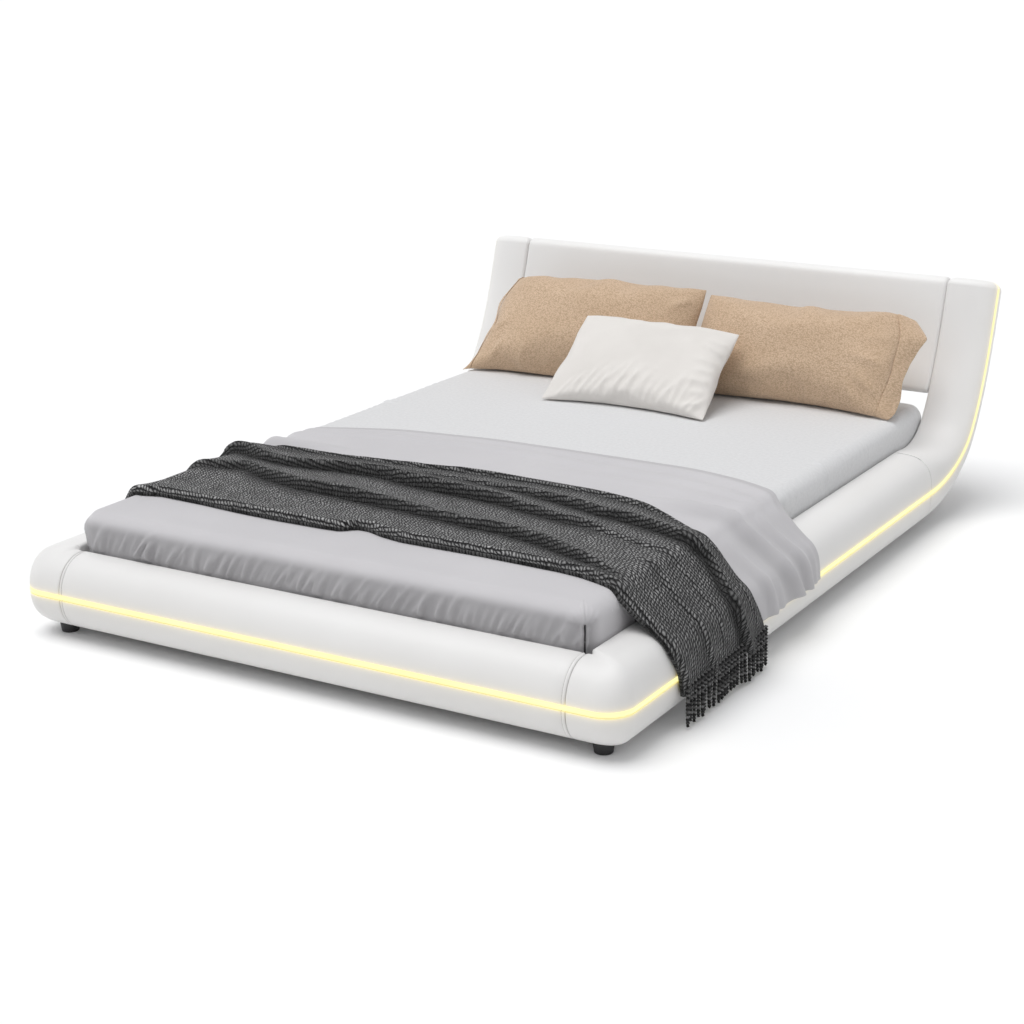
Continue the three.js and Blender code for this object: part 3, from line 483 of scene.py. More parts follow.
# %% [markdown]
# ## Padded rails
#
# A rail is a board with foam wrapped in faux leather. Its section has a flat top beside the
# mattress and a full nose outside, with a groove for the light line. The foot rail runs straight,
# and each side rail starts with the front corner. The same section, slimmer on top, sweeps up
# along the riser. One outline that changes its sizes along the way makes them all, so they meet.

# %% Rail sections
FOOT = np.array((0.097, 0.092, 0.0915, 0.94, 0.86))      # width, above, below, and two fullness powers
SIDE = np.array((0.117, 0.1025, 0.0915, 0.67, 0.57))
RISER = np.array((0.142, 0.0445, 0.125, 0.86, 0.86))
RAIL_FLAT, RAIL_EDGE, GROOVE, GROOVE_DEPTH = 0.012, 0.008, 0.015, 0.009
INNER_X, FOOT_Y, SEAM_X, SEAM_GAP, CORNER = 0.7, -1.005, 0.688, 0.0003, 0.068
LINE_Z = sum(corner.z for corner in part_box("led_strip_foot")) / 2
RISER_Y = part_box("side_rail_right")[1].y - MIDDLE_Y + SEAM_GAP / 2
NOSE_STEPS, NOSE_CROWDING = 22, 1.6
# How strong the painted glow of the light line is on the leather, and how far it reaches.
GLOW_NEAR, GLOW_NEAR_REACH, GLOW_FAR, GLOW_FAR_REACH, GLOW_MOST, GLOW_END = 0.75, 0.004, 0.16, 0.016, 0.9, 0.07


def nose(section, angle):
    width, above, below, up, down = section
    height, power = (above, up) if angle > 0 else (below, down)
    return (
        RAIL_FLAT + (width - RAIL_FLAT) * max(math.cos(angle), 0) ** power,
        math.copysign(height * math.sin(abs(angle)) ** power, angle),
    )


def outline(section):
    """Closed outline of a rail, and the painted glow that the light line puts on each point of it."""
    width, above, below, up, down = section
    quarter = math.pi / 2
    lip_up = math.asin((GROOVE / 2 / above) ** (1 / up))
    lip_down = math.asin((GROOVE / 2 / below) ** (1 / down))
    points = [(RAIL_EDGE * (1 - math.cos(a)), above - RAIL_EDGE * (1 - math.sin(a)))
              for a in (i / 4 * quarter for i in range(5))]
    for i in range(NOSE_STEPS + 1):
        t = 1 - (1 - i / NOSE_STEPS) ** NOSE_CROWDING
        points.append(nose(section, quarter + (lip_up - quarter) * t))
    points += [(width - GROOVE_DEPTH, GROOVE / 2), (width - GROOVE_DEPTH, -GROOVE / 2)]
    for i in range(NOSE_STEPS + 1):
        t = (i / NOSE_STEPS) ** NOSE_CROWDING
        points.append(nose(section, -(lip_down + (quarter - lip_down) * t)))
    points += [(RAIL_EDGE, -below), (0, RAIL_EDGE - below)]
    points = np.array(points)
    # The painted glow fades with the distance from the groove.
    away = np.hypot(points[:, 0] - width, np.maximum(np.abs(points[:, 1]) - GROOVE / 2, 0))
    painted_glow = GLOW_NEAR * np.exp(-away / GLOW_NEAR_REACH) + GLOW_FAR * np.exp(-away / GLOW_FAR_REACH)
    return points, np.minimum(painted_glow, GLOW_MOST) * (away < GLOW_END)


def drawn_in(points, inset):
    low, high = points.min(0), points.max(0)
    middle, half = (low + high) / 2, (high - low) / 2
    return middle + (points - middle) * (1 - inset / half)

# %% Path of the rails
RISER_LINE = np.array(((0, 0), (0.305, 0), (0.426, 0.523), (0.426, 0.523)))
LEAN = math.radians(69.7)
RISER_LINE[2] -= 0.132 * np.array((math.cos(LEAN), math.sin(LEAN)))


def riser_table(count=400):
    t = np.linspace(0, 1, count)[:, None]
    a, b, c, d = RISER_LINE
    place_on = (1 - t) ** 3 * a + 3 * (1 - t) ** 2 * t * b + 3 * (1 - t) * t * t * c + t ** 3 * d
    way = 3 * (1 - t) ** 2 * (b - a) + 6 * (1 - t) * t * (c - b) + 3 * t * t * (d - c)
    way /= np.linalg.norm(way, axis=1)[:, None]
    return place_on, way, run_of(place_on)


PLACE, WAY, LENGTH = riser_table()
RISER_LENGTH = LENGTH[-1]


def off_riser(share, height):
    """The place (y, z) at a share of the riser's line, and at a height over that line."""
    at = share * RISER_LENGTH
    p = np.array([np.interp(at, LENGTH, PLACE[:, k]) for k in (0, 1)])
    w = np.array([np.interp(at, LENGTH, WAY[:, k]) for k in (0, 1)])
    w /= np.linalg.norm(w)
    height = np.asarray(height)[..., None]
    return np.array((RISER_Y, LINE_Z)) + p + height * np.array((-w[1], w[0]))


def foot_ring(side, x, points):
    return np.stack((np.full(len(points), side * x), FOOT_Y - points[:, 0], LINE_Z + points[:, 1]), 1)


def corner_section(angle):
    return FOOT + (SIDE - FOOT) * math.sin(angle) ** 2


def corner_ring(side, angle, points):
    width = corner_section(angle)[0]
    out_x = SIDE[0] - CORNER * (1 - math.sin(angle))
    out_y = FOOT[0] - CORNER * (1 - math.cos(angle))
    return np.stack((
        side * (INNER_X + out_x * points[:, 0] / width),
        FOOT_Y - out_y * points[:, 0] / width,
        LINE_Z + points[:, 1],
    ), 1)


def side_ring(side, y, points):
    return np.stack((side * (INNER_X + points[:, 0]), np.full(len(points), y), LINE_Z + points[:, 1]), 1)


def riser_section(share):
    return SIDE + (RISER - SIDE) * float(smooth_step(share / 0.4))


def riser_ring(side, share, points):
    yz = off_riser(share, points[:, 1])
    return np.stack((side * (INNER_X + points[:, 0]), yz[:, 0], yz[:, 1]), 1)

# %% [markdown]
# Where two covers meet, each turns in round its edge. Beside the two front seams runs a line of
# top-stitching, which presses a shallow groove into the foam. Seam steps hold both: how far from
# the seam, and how deep the cover is drawn in there.

# %% Seam steps and the four covers
def rounded(radius, steps):
    angles = [i / steps * math.pi / 2 for i in range(steps + 1)]
    return [(radius * (1 - math.cos(a)), radius * (1 - math.sin(a))) for a in angles]


SEAM = rounded(0.006, 5)
STITCH_AT = 0.0085
# How strong the painted shade is in the front seams, on the top-stitching, in the rear seam and towards the floor.
FRONT_SHADE, STITCH_SHADE, REAR_SHADE, LOW_SHADE = 0.35, 0.45, 0.8, 0.11
TOP_STITCH = [(STITCH_AT - 0.0015, 0.0002), (STITCH_AT - 0.0008, 0.0016), (STITCH_AT, 0.0022),
              (STITCH_AT + 0.0008, 0.0016), (STITCH_AT + 0.003, 0)]
FULL_EDGE = [(0.0075 * (1 - math.cos(i / 7 * math.pi / 2)), 0.0045 * (1 - math.sin(i / 7 * math.pi / 2)))
             for i in range(8)]


def painted_seam_and_low_shade(points):
    """Painted shade: 1 in a joint between two covers, less on top-stitching, and a little towards the floor."""
    x, y, z = points.T
    front = FRONT_SHADE * (np.abs(np.abs(x) - SEAM_X) < 0.0011) * (y < FOOT_Y + 0.001)
    stitched = STITCH_SHADE * (np.abs(SEAM_X - STITCH_AT - np.abs(x)) < 0.0006) * (y < FOOT_Y)
    rear = REAR_SHADE * (np.abs(y - RISER_Y) < 0.0012)
    low = LOW_SHADE * (1 - smooth_step((z - 0.2) / 0.3))
    return np.maximum.reduce((front, stitched, rear, low))


def cover(name, stations, *replaced):
    """A station is where a ring goes, and its outline with the painted glow at each point."""
    rings = np.array([ring(points) for ring, (points, painted_glow) in stations])
    painted_glows = np.array([painted_glow for ring, (points, painted_glow) in stations])
    around = np.linspace(0, 0.6, rings.shape[1])
    flat = np.stack(np.broadcast_arrays(run_of(rings.mean(1))[:, None], around[None]), 2)
    made = weld(name, [(rings, flat, painted_glows)], white_leather, caps=(0, -1), close_rows=True, crease=50)
    set_field(made, PAINTED_SHADE, painted_seam_and_low_shade(local_points(made)))
    return rides(made, "bed_frame", "white_leather", *replaced)


def inset_outline(section, inset):
    points, painted_glow = outline(section)
    return drawn_in(points, inset), painted_glow


foot_end = SEAM_X - SEAM_GAP / 2
foot_steps = SEAM + TOP_STITCH
foot_stations = [(lambda p, x=along - foot_end: foot_ring(1, x, p), inset_outline(FOOT, inset))
                 for along, inset in foot_steps]
foot_stations += [(lambda p, x=x: foot_ring(1, x, p), inset_outline(FOOT, 0))
                  for x in np.linspace(-0.65, 0.65, 27)]
foot_stations += [(lambda p, x=foot_end - along: foot_ring(1, x, p), inset_outline(FOOT, inset))
                  for along, inset in reversed(foot_steps)]
cover("foot_rail_cover", foot_stations, "foot_rail")

for side_name, side in SIDES:
    start, end = SEAM_X + SEAM_GAP / 2, RISER_Y - SEAM_GAP / 2
    stations = [(lambda p, x=start + along: foot_ring(side, x, p), inset_outline(FOOT, inset))
                for along, inset in FULL_EDGE]
    stations += [(lambda p, a=a: corner_ring(side, a, p), inset_outline(corner_section(a), 0))
                 for a in np.linspace(0, math.pi / 2, 29)]
    stations += [(lambda p, y=y: side_ring(side, y, p), inset_outline(SIDE, 0))
                 for y in np.linspace(-0.99, 0.70, 33)]
    stations += [(lambda p, y=end - along: side_ring(side, y, p), inset_outline(SIDE, inset))
                 for along, inset in reversed(rounded(0.005, 4))]
    cover(f"side_rail_cover_{side_name}", stations, f"side_rail_{side_name}")

    low = [(lambda p, s=(SEAM_GAP / 2 + along) / RISER_LENGTH: riser_ring(side, s, p),
            inset_outline(riser_section((SEAM_GAP / 2 + along) / RISER_LENGTH), inset))
           for along, inset in rounded(0.005, 4)]
    sweep = [(lambda p, s=s: riser_ring(side, s, p), inset_outline(riser_section(s), 0))
             for s in np.linspace(0.02, 1 - 0.03, 60)]
    top = [(lambda p, s=1 - along / RISER_LENGTH: riser_ring(side, s, p), inset_outline(RISER, inset))
           for along, inset in reversed(rounded(0.024, 8))]
    cover(f"riser_cover_{side_name}", low + sweep + top, f"riser_{side_name}")

# %% [markdown]
# ## Headboard panel
#
# The panel is a padded plate between the risers, bent along the same line, with its face level
# with theirs and all its edges well rounded. It is built as rings round the plate, drawn in
# towards both ends.

# %% Headboard panel
PANEL_START, PANEL_BACK, PANEL_THICK, PANEL_ROUND, PANEL_END = 0.504, 0.583, 0.100, 0.026, 0.011
panel_length = (1 - PANEL_START) * RISER_LENGTH


def plate_outline(length, thick, radius, steps=6, long_steps=36, short_steps=5):
    corners = [(1, -1), (1, 1), (-1, 1), (-1, -1)]
    outline_points = []
    for k, (sx, sy) in enumerate(corners):
        arc = [(sx * (length / 2 - radius) + radius * math.cos((k - 1 + i / steps) * math.pi / 2),
                sy * (thick / 2 - radius) + radius * math.sin((k - 1 + i / steps) * math.pi / 2))
               for i in range(steps + 1)]
        (x0, y0), (next_x, next_y) = arc[-1], corners[(k + 1) % 4]
        x1 = next_x * (length / 2 - radius) + radius * math.cos(k * math.pi / 2)
        y1 = next_y * (thick / 2 - radius) + radius * math.sin(k * math.pi / 2)
        count = short_steps if k % 2 == 0 else long_steps
        outline_points += arc
        outline_points += [(x0 + (x1 - x0) * i / count, y0 + (y1 - y0) * i / count) for i in range(1, count)]
    return np.array(outline_points)


def panel_ring(x, points):
    depth = 0.5 - points[:, 1] / PANEL_THICK
    lowest = PANEL_START + (PANEL_BACK - PANEL_START) * depth
    share = lowest + (1 - lowest) * (0.5 + points[:, 0] / panel_length)
    yz = np.array([off_riser(s, RISER[1] - PANEL_THICK * d) for s, d in zip(share, depth)])
    return np.stack((np.full(len(points), x), yz[:, 0], yz[:, 1]), 1)


plate = plate_outline(panel_length, PANEL_THICK, PANEL_ROUND)
half_width = INNER_X - SEAM_GAP
end_steps = rounded(PANEL_END, 7)
rings = [panel_ring(along - half_width, drawn_in(plate, inset)) for along, inset in end_steps]
rings += [panel_ring(x, plate) for x in np.linspace(-0.64, 0.64, 25)]
rings += [panel_ring(half_width - along, drawn_in(plate, inset)) for along, inset in reversed(end_steps)]
rings = np.array(rings)
flat = np.stack(np.broadcast_arrays(rings[:, :, 0], rings[:, :, 2]), 2)
panel = weld("headboard_cover", [(rings, flat)], white_leather, caps=(0, -1), close_rows=True)
rides(panel, "bed_frame", "white_leather", "headboard_panel")

# %% [markdown]
# ## Light line
#
# A strip of milky diffuser lies in the groove and stands just proud of the cover. What repeats
# along a path is a job for Geometry Nodes: the path is a curve, and Curve to Mesh sweeps a
# flat-backed profile along it. With the curve's normals kept level, the strip follows the riser
# without turning.

# %% Sweep tree
def set_input(modifier, tree, label, value):
    socket = next(s for s in tree.interface.items_tree if s.item_type == "SOCKET"
                  and s.in_out == "INPUT" and s.name == label)
    modifier[socket.identifier] = value


def start_tree(name, inputs):
    geometry = ("Geometry", "NodeSocketGeometry")
    return start_group(name, [(*geometry, None), *inputs], [geometry], "GeometryNodeTree")


def end_tree(tree, geometry, finish, out):
    """Ends a tree in plain geometry with one finish."""
    real = place(tree, "GeometryNodeRealizeInstances", {0: geometry})
    named = place(tree, "GeometryNodeSetMaterial", {0: real.outputs[0], "Material": finish})
    tree.links.new(named.outputs[0], out.inputs[0])


sweep_tree, s_in, s_out = start_tree("Sweep along a level path", [
    ("Width", "NodeSocketFloat", None), ("Depth", "NodeSocketFloat", None), ("Finish", "NodeSocketMaterial", None),
])
level = place(sweep_tree, "GeometryNodeSetCurveNormal", {"Curve": s_in.outputs["Geometry"]}, mode="Z_UP")
profile = place(sweep_tree, "GeometryNodeCurvePrimitiveQuadrilateral", {
    "Width": s_in.outputs["Depth"], "Height": s_in.outputs["Width"],
})
soft_profile = place(sweep_tree, "GeometryNodeFilletCurve", {
    "Curve": profile.outputs[0], "Radius": 0.0024, "Count": 4,
}, mode="POLY")
swept = place(sweep_tree, "GeometryNodeCurveToMesh", {
    "Curve": level.outputs[0], "Profile Curve": soft_profile.outputs[0], "Fill Caps": True,
})
end_tree(sweep_tree, swept.outputs[0], s_in.outputs["Finish"], s_out)


def path_curve(name, points):
    data = bpy.data.curves.new(name, "CURVE")
    data.dimensions = "3D"
    spline = data.splines.new("POLY")
    spline.points.add(len(points) - 1)
    for target, p in zip(spline.points, points):
        target.co = (p[0], p[1] + MIDDLE_Y, p[2], 1)
    return new_object(name, data)


def grow(name, source, tree, values):
    """Runs a Geometry Nodes tree on a source and keeps its result as a plain mesh object."""
    modifier = source.modifiers.new("tree", "NODES")
    modifier.node_group = tree
    for label, value in values.items():
        set_input(modifier, tree, label, value)
    evaluated = source.evaluated_get(bpy.context.evaluated_depsgraph_get())
    mesh = bpy.data.meshes.new_from_object(evaluated)
    bpy.data.objects.remove(source)
    mesh.name = name
    return new_object(name, mesh)

# %% Three light strips
STRIP_PROUD, STRIP_WIDTH = 0.0012, 0.0085
STRIP_BACK = GROOVE_DEPTH - 0.0003
strip_depth = STRIP_BACK + STRIP_PROUD
strip_off = STRIP_PROUD - strip_depth / 2


def strip(name, points, replaced):
    made = grow(name, path_curve(name, points), sweep_tree, {
        "Width": STRIP_WIDTH, "Depth": strip_depth, "Finish": light_strip,
    })
    made.data.shade_smooth()
    made.data.set_sharp_from_angle(angle=math.radians(50))
    return rides(made, "bed_frame", "light_strip", replaced)


foot_path = [(x, FOOT_Y - FOOT[0] - strip_off, LINE_Z) for x in (-foot_end, foot_end)]
strip("light_strip_foot", foot_path, "led_strip_foot")
for side_name, side in SIDES:
    path = [(side * (SEAM_X + SEAM_GAP / 2), FOOT_Y - FOOT[0] - strip_off, LINE_Z)]
    for a in np.linspace(0, math.pi / 2, 25):
        width = corner_section(a)[0]
        path.append(tuple(corner_ring(side, a, np.array([[width + strip_off, 0]]))[0]))
    path += [(side * (INNER_X + SIDE[0] + strip_off), y, LINE_Z) for y in np.linspace(-0.96, 0.72, 12)]
    for s in np.linspace(0, 1 - 0.020 / RISER_LENGTH, 50):
        path.append(tuple(riser_ring(side, s, np.array([[riser_section(s)[0] + strip_off, 0]]))[0]))
    strip(f"light_strip_{side_name}", path, f"led_strip_{side_name}")

# %% [markdown]
# ## Top-stitching
#
# Real stitches are short bars of thread, evenly spaced, that sink at both ends. Geometry Nodes
# spaces points along the seam's curve, turns a small bar to the curve's direction at each, and
# realizes them as one mesh.

# %% Stitch tree
stitch_tree, g_in, g_out = start_tree("Stitches along a seam", [
    ("Pitch", "NodeSocketFloat", 0.0062), ("Length", "NodeSocketFloat", 0.0045),
    ("Thread", "NodeSocketFloat", 0.0006), ("Finish", "NodeSocketMaterial", None),
])
spaced = place(stitch_tree, "GeometryNodeCurveToPoints", {
    "Curve": g_in.outputs["Geometry"], "Length": g_in.outputs["Pitch"],
}, mode="LENGTH")
bar = place(stitch_tree, "GeometryNodeMeshCylinder", {
    "Vertices": 6, "Side Segments": 2, "Radius": g_in.outputs["Thread"], "Depth": g_in.outputs["Length"],
})
aligned = place(stitch_tree, "FunctionNodeAlignRotationToVector", {"Vector": spaced.outputs["Tangent"]}, axis="Z")
stitches = place(stitch_tree, "GeometryNodeInstanceOnPoints", {
    "Points": spaced.outputs["Points"], "Instance": bar.outputs["Mesh"], "Rotation": aligned.outputs[0],
})
end_tree(stitch_tree, stitches.outputs[0], g_in.outputs["Finish"], g_out)

# %% Stitches beside the two front seams
foot_outline, _ = outline(FOOT)
for side_name, side in SIDES:
    ring = foot_ring(side, foot_end - STITCH_AT, drawn_in(foot_outline, 0.0019)[5:-2])
    made = grow(f"seam_stitches_{side_name}", path_curve("seam", ring), stitch_tree, {"Finish": thread})
    rides(made, "bed_frame", "white_leather")

# %% [markdown]
# ## Base under the mattress
#
# Slats lie on steel ledgers and on a centre beam with levelling legs. They are hidden in the
# photograph, and plain on the real thing. The slats repeat, so a tree sets rounded boards along a
# line. The feet and legs are turned profiles.

# %% Slat tree
SLAT_COUNT = 13
slat_tree, b_in, b_out = start_tree("Slats along a line", [
    ("Count", "NodeSocketInt", SLAT_COUNT), ("Board", "NodeSocketObject", None),
    ("Finish", "NodeSocketMaterial", None),
])
slat_points = place(slat_tree, "GeometryNodeCurveToPoints", {
    "Curve": b_in.outputs["Geometry"], "Count": b_in.outputs["Count"],
}, mode="COUNT")
board_info = place(slat_tree, "GeometryNodeObjectInfo", {"Object": b_in.outputs["Board"]})
laid = place(slat_tree, "GeometryNodeInstanceOnPoints", {
    "Points": slat_points.outputs["Points"], "Instance": board_info.outputs["Geometry"],
})
end_tree(slat_tree, laid.outputs[0], b_in.outputs["Finish"], b_out)

# %% Slats
slat_names = [f"slat_{i + 1:02d}" for i in range(SLAT_COUNT)]
first_low, first_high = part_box(slat_names[0])
last_low, last_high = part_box(slat_names[-1])
board_size = first_high - first_low
net = bmesh.new()
bmesh.ops.create_cube(net, size=1, matrix=Matrix.Diagonal((*board_size, 1)))
bmesh.ops.bevel(net, geom=net.edges[:], offset=0.003, segments=3, profile=0.5, affect="EDGES")
board_mesh = bpy.data.meshes.new("board")
net.to_mesh(board_mesh)
net.free()
board_mesh.shade_smooth()
board = new_object("board", board_mesh)
first, last = (first_low + first_high) / 2, (last_low + last_high) / 2
line = path_curve("slat_line", [(p.x, p.y - MIDDLE_Y, p.z) for p in (first, last)])
slats = grow("slats", line, slat_tree, {"Board": board, "Finish": slat_wood})
bpy.data.objects.remove(board)
rides(slats, "bed_frame", "slat_wood", *slat_names)

# %% Turned feet and levelling legs
def turned(name, profile, centres, material, segments=40):
    angles = np.linspace(0, 2 * math.pi, segments, endpoint=False)
    patches = []
    for x, y in centres:
        rings = np.array([[(x + r * math.cos(a), y + r * math.sin(a), z) for a in angles] for r, z in profile])
        flat = np.stack(np.broadcast_arrays(rings[:, :, 0], rings[:, :, 2]), 2)
        patches.append((rings, flat))
    return weld(name, patches, material, caps=(0, -1), close_rows=True, crease=35)


def node_centre(name):
    low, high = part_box(name)
    return ((low.x + high.x) / 2, (low.y + high.y) / 2 - MIDDLE_Y)


foot_nodes = [f"foot_{end}_{s}" for end in ("front", "rear") for s in ("left", "right")]
foot_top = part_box(foot_nodes[0])[1].z
foot_profile = [(0.0185, 0), (0.0203, 0.0006), (0.021, 0.002), (0.0212, 0.0045), (0.0205, 0.0052),
                (0.0206, 0.006), (0.0216, 0.0066), (0.0238, foot_top - 0.002), (0.0235, foot_top - 0.0008),
                (0.022, foot_top)]
feet = turned("rail_feet", foot_profile, [node_centre(n) for n in foot_nodes], black_plastic)
rides(feet, "bed_frame", "black_plastic", *foot_nodes)

leg_nodes = [f"centre_leg_{i}" for i in (1, 2, 3)]
leg_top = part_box(leg_nodes[0])[1].z
ROD_RADIUS, GROOVES_IN_ROD, ROD_GROOVE, ROD_PITCH = 0.006, 26, 0.0005, 0.0008
leg_profile = [(0.0235, 0), (0.025, 0.0012), (0.025, 0.003), (0.021, 0.0052), (0.0115, 0.0066), (0.009, 0.0066),
               (0.009, 0.0126), (ROD_RADIUS, 0.0132)]
leg_profile += [(ROD_RADIUS - ROD_GROOVE * (i % 2), 0.0137 + i * ROD_PITCH) for i in range(GROOVES_IN_ROD)]
leg_profile.append((ROD_RADIUS, leg_top))
legs = turned("levelling_legs", leg_profile, [node_centre(n) for n in leg_nodes], black_plastic, 24)
rides(legs, "bed_frame", "black_plastic", *leg_nodes)

# %% Finishes on the measured pieces that stay
def finish_node(name, material):
    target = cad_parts[name]
    target.data.materials.clear()
    target.data.materials.append(material)


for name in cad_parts:
    if name.startswith(("slat_ledger", "corner_plate", "panel_bracket", "centre_beam")):
        finish_node(name, steel)
finish_node("head_cross_rail", slat_wood)
finish_node("light_controller", black_plastic)

# %% [markdown]
# ## Cloth over the mattress
#
# A sheet over a mattress is flat on top, turns down over a round edge and falls along the side.
# Seen from above it is a rectangle with strips round it and a fan at each corner, so it is built
# from exactly those nets: each knows how far out, and how low, the cloth is along its fall.

# %% Falls of the cloth
MATTRESS_W, MATTRESS_L, TOP_Z, LOW_Z = 1.39, 2.0, mattress_high.z, mattress_low.z
CORNER_R, EDGE_R = 0.046, 0.034
TURN_X, TURN_Y = MATTRESS_W / 2 - CORNER_R, -MATTRESS_L / 2 + CORNER_R     # where a cloth starts to turn down
FALL_STEPS = 44


def resample(points, count):
    points = np.asarray(points, float)
    run = run_of(points)
    at = np.linspace(0, run[-1], count)
    return np.stack([np.interp(at, run, points[:, k]) for k in range(points.shape[1])], 1)


def rounded_line(points):
    points = np.asarray(points, float)
    for _ in range(3):
        quarter = points[:-1] * 0.75 + points[1:] * 0.25
        three = points[:-1] * 0.25 + points[1:] * 0.75
        middle = np.stack((quarter, three), 1).reshape(-1, points.shape[1])
        points = np.concatenate((points[:1], middle, points[-1:]))
    return points


def edge_turn(grow_by, steps=8):
    edge = EDGE_R + grow_by
    return [(CORNER_R - EDGE_R + edge * math.sin(a), TOP_Z + grow_by - edge * (1 - math.cos(a)))
            for a in np.linspace(0, math.pi / 2, steps + 1)]


def tucked_fall(grow_by, hem_z):
    return resample([(0, TOP_Z + grow_by)] + edge_turn(grow_by) + [(CORNER_R + grow_by, hem_z)], FALL_STEPS)


def draped_fall(grow_by, hem_z, settle):
    """Over the mattress edge, then in one slope to the rail's shoulder and down past the light line."""
    turn_over = [p for p in edge_turn(grow_by, 9) if p[0] < CORNER_R - EDGE_R + (EDGE_R + grow_by) * 0.87]
    out = STRIP_PROUD + settle
    away = SIDE + np.array((out, out, 0, 0, 0))
    shoulder = []
    for share in (0.68, 0.5, 0.34, 0.17, 0.0):
        x, z = nose(away, share * math.pi / 2)
        shoulder.append((INNER_X + x - TURN_X, LINE_Z + z))
    line = [(0, TOP_Z + grow_by)] + turn_over + shoulder + [(shoulder[-1][0], hem_z)]
    return resample(rounded_line(line), FALL_STEPS)

# %% Nets of a cloth over the mattress
def cloth_nets(foot, side_fall, head_y, rows, columns, fans=np.linspace(0, math.pi / 2, 17), dense=1.0, extra=()):
    """foot is the fall at the foot, side_fall(y) the one at a row, and head_y(x) the cloth's head edge."""
    run = run_of(foot)
    xs = np.linspace(-TURN_X, TURN_X, columns)
    shares = 1 - (1 - np.linspace(0, 1, rows)) ** dense
    if len(extra):
        shares = np.unique(np.round(np.concatenate((shares, extra)), 6))
    ys = TURN_Y + shares[:, None] * (np.array([head_y(x) for x in xs])[None] - TURN_Y)
    top = np.stack((np.broadcast_to(xs, ys.shape), ys, np.full(ys.shape, foot[0, 1])), 2)
    front = np.stack(np.broadcast_arrays(xs[None], TURN_Y - foot[:, :1], foot[:, 1:]), 2)
    front_map = np.stack(np.broadcast_arrays(xs[None], TURN_Y - run[:, None]), 2)
    patches = [(top, top[:, :, :2]), (front, front_map)]
    for side in (-1, 1):
        strip_rows, strip_map = [], []
        for s in shares:
            fall = side_fall(TURN_Y + s * (head_y(side * TURN_X) - TURN_Y))
            out = run_of(fall)
            y = TURN_Y + s * (np.array([head_y(side * (TURN_X + o)) for o in out]) - TURN_Y)
            strip_rows.append(np.stack((side * (TURN_X + fall[:, 0]), y, fall[:, 1]), 1))
            strip_map.append(np.stack((side * (TURN_X + out), y), 1))
        patches.append((np.array(strip_rows), np.array(strip_map)))
        fan, fan_map = [], []
        for a in fans:
            way_x, way_y = side * math.sin(a), -math.cos(a)
            fan.append(np.stack((side * TURN_X + way_x * foot[:, 0], TURN_Y + way_y * foot[:, 0], foot[:, 1]), 1))
            fan_map.append(np.stack((side * TURN_X + way_x * run, TURN_Y + way_y * run), 1))
        patches.append((np.array(fan), np.array(fan_map)))
    return patches

# %% [markdown]
# ## Mattress and fitted sheet
#
# The mattress is a padded block with a quilted underside. The fitted sheet covers it tightly on
# all sides. Two copies of one half, turned end to end, give all four corners.

# %% Mattress core
def both_ends(patches):
    return patches + [(points * (-1, -1, 1), flat * (-1, -1)) for points, flat in patches]


def block_fall():
    upper = edge_turn(0.0)
    lower = [(out, LOW_Z + TOP_Z - z) for out, z in reversed(upper)]
    return resample([(0, TOP_Z)] + upper + lower + [(0, LOW_Z)], FALL_STEPS * 2)


def full_cloth(fall, rows=40, extra=()):
    return both_ends(cloth_nets(fall, lambda y: fall, lambda x: 0.0, rows, columns=60, extra=extra))


core = full_cloth(block_fall())
across, along = np.meshgrid(np.linspace(-TURN_X, TURN_X, 60), np.linspace(TURN_Y, -TURN_Y, 80))
bottom = np.stack((across, along, np.full(across.shape, LOW_Z)), 2)
core.append((bottom, bottom[:, :, :2]))
mattress = weld("mattress_core", core, mattress_cloth)
QUILT_DEPTH, QUILTS = 0.00288, 26


def quilting(points):
    """The underside is drawn in between the tufts of its quilting."""
    x, y, z = points.T
    out = np.maximum(np.abs(x) - MATTRESS_W / 2 + EDGE_R, np.abs(y) - MATTRESS_L / 2 + EDGE_R)
    low = smooth_step((LOW_Z + 0.013 - z) / 0.01)
    return QUILT_DEPTH * low * (out < 0) * (np.abs(np.sin(x * QUILTS) * np.sin(y * QUILTS)) ** 0.5 - 1)


move_out(mattress, quilting)
rides(mattress, "mattress_set", "mattress_fabric", "mattress")

# %% Fitted sheet
fitted_fall = tucked_fall(0.0011, 0.116)
SIDE_SEAM_Y = 0.262
beside_seam = 1 - (SIDE_SEAM_Y + np.arange(-9, 10) * 0.0018) / -TURN_Y
fitted = weld("fitted_cloth", full_cloth(fitted_fall, 96, beside_seam), fitted_cloth)


def fitted_pull(points):
    """Soft waves on top, small puckers along the edge, and the upright seam on each long side."""
    x, y, z = points.T
    drop = smooth_step((TOP_Z - 0.004 - z) / 0.05)
    waves = 0.0012 * clouds(points * (1, 1, 0.3), 5.0, 3.0) * (1 - drop)
    edge = np.exp(-((z - TOP_Z + 0.022) / 0.03) ** 2) * (np.abs(x) > 0.64)
    puckers = 0.0026 * np.sin(y * 190 + 5 * clouds(points, 3.0, 8.0)) * edge * (0.5 + clouds(points, 7.0, 2.0))
    seam = np.abs(y - SIDE_SEAM_Y) * (np.abs(x) > 0.66) + (np.abs(x) <= 0.66)
    double = 0.0030 * np.exp(-(seam / 0.0030) ** 2) + 0.0016 * np.exp(-((seam - 0.008) / 0.0025) ** 2)
    return waves + puckers + double * smooth_step((z - 0.142) / 0.03)


move_out(fitted, lambda p: np.maximum(fitted_pull(p), -0.0006) + 0.0008)
thicken(fitted, 0.0014)
rides(fitted, "mattress_set", "fitted_sheet", "fitted_sheet")

# %% [markdown]
# ## Where the throw lies
#
# Places on a cloth that goes over the side are given as distance across, measured over its
# surface from the middle of the bed, and place along the bed. The throw's two edges come first,
# because the sheet's own folds stay clear of it.

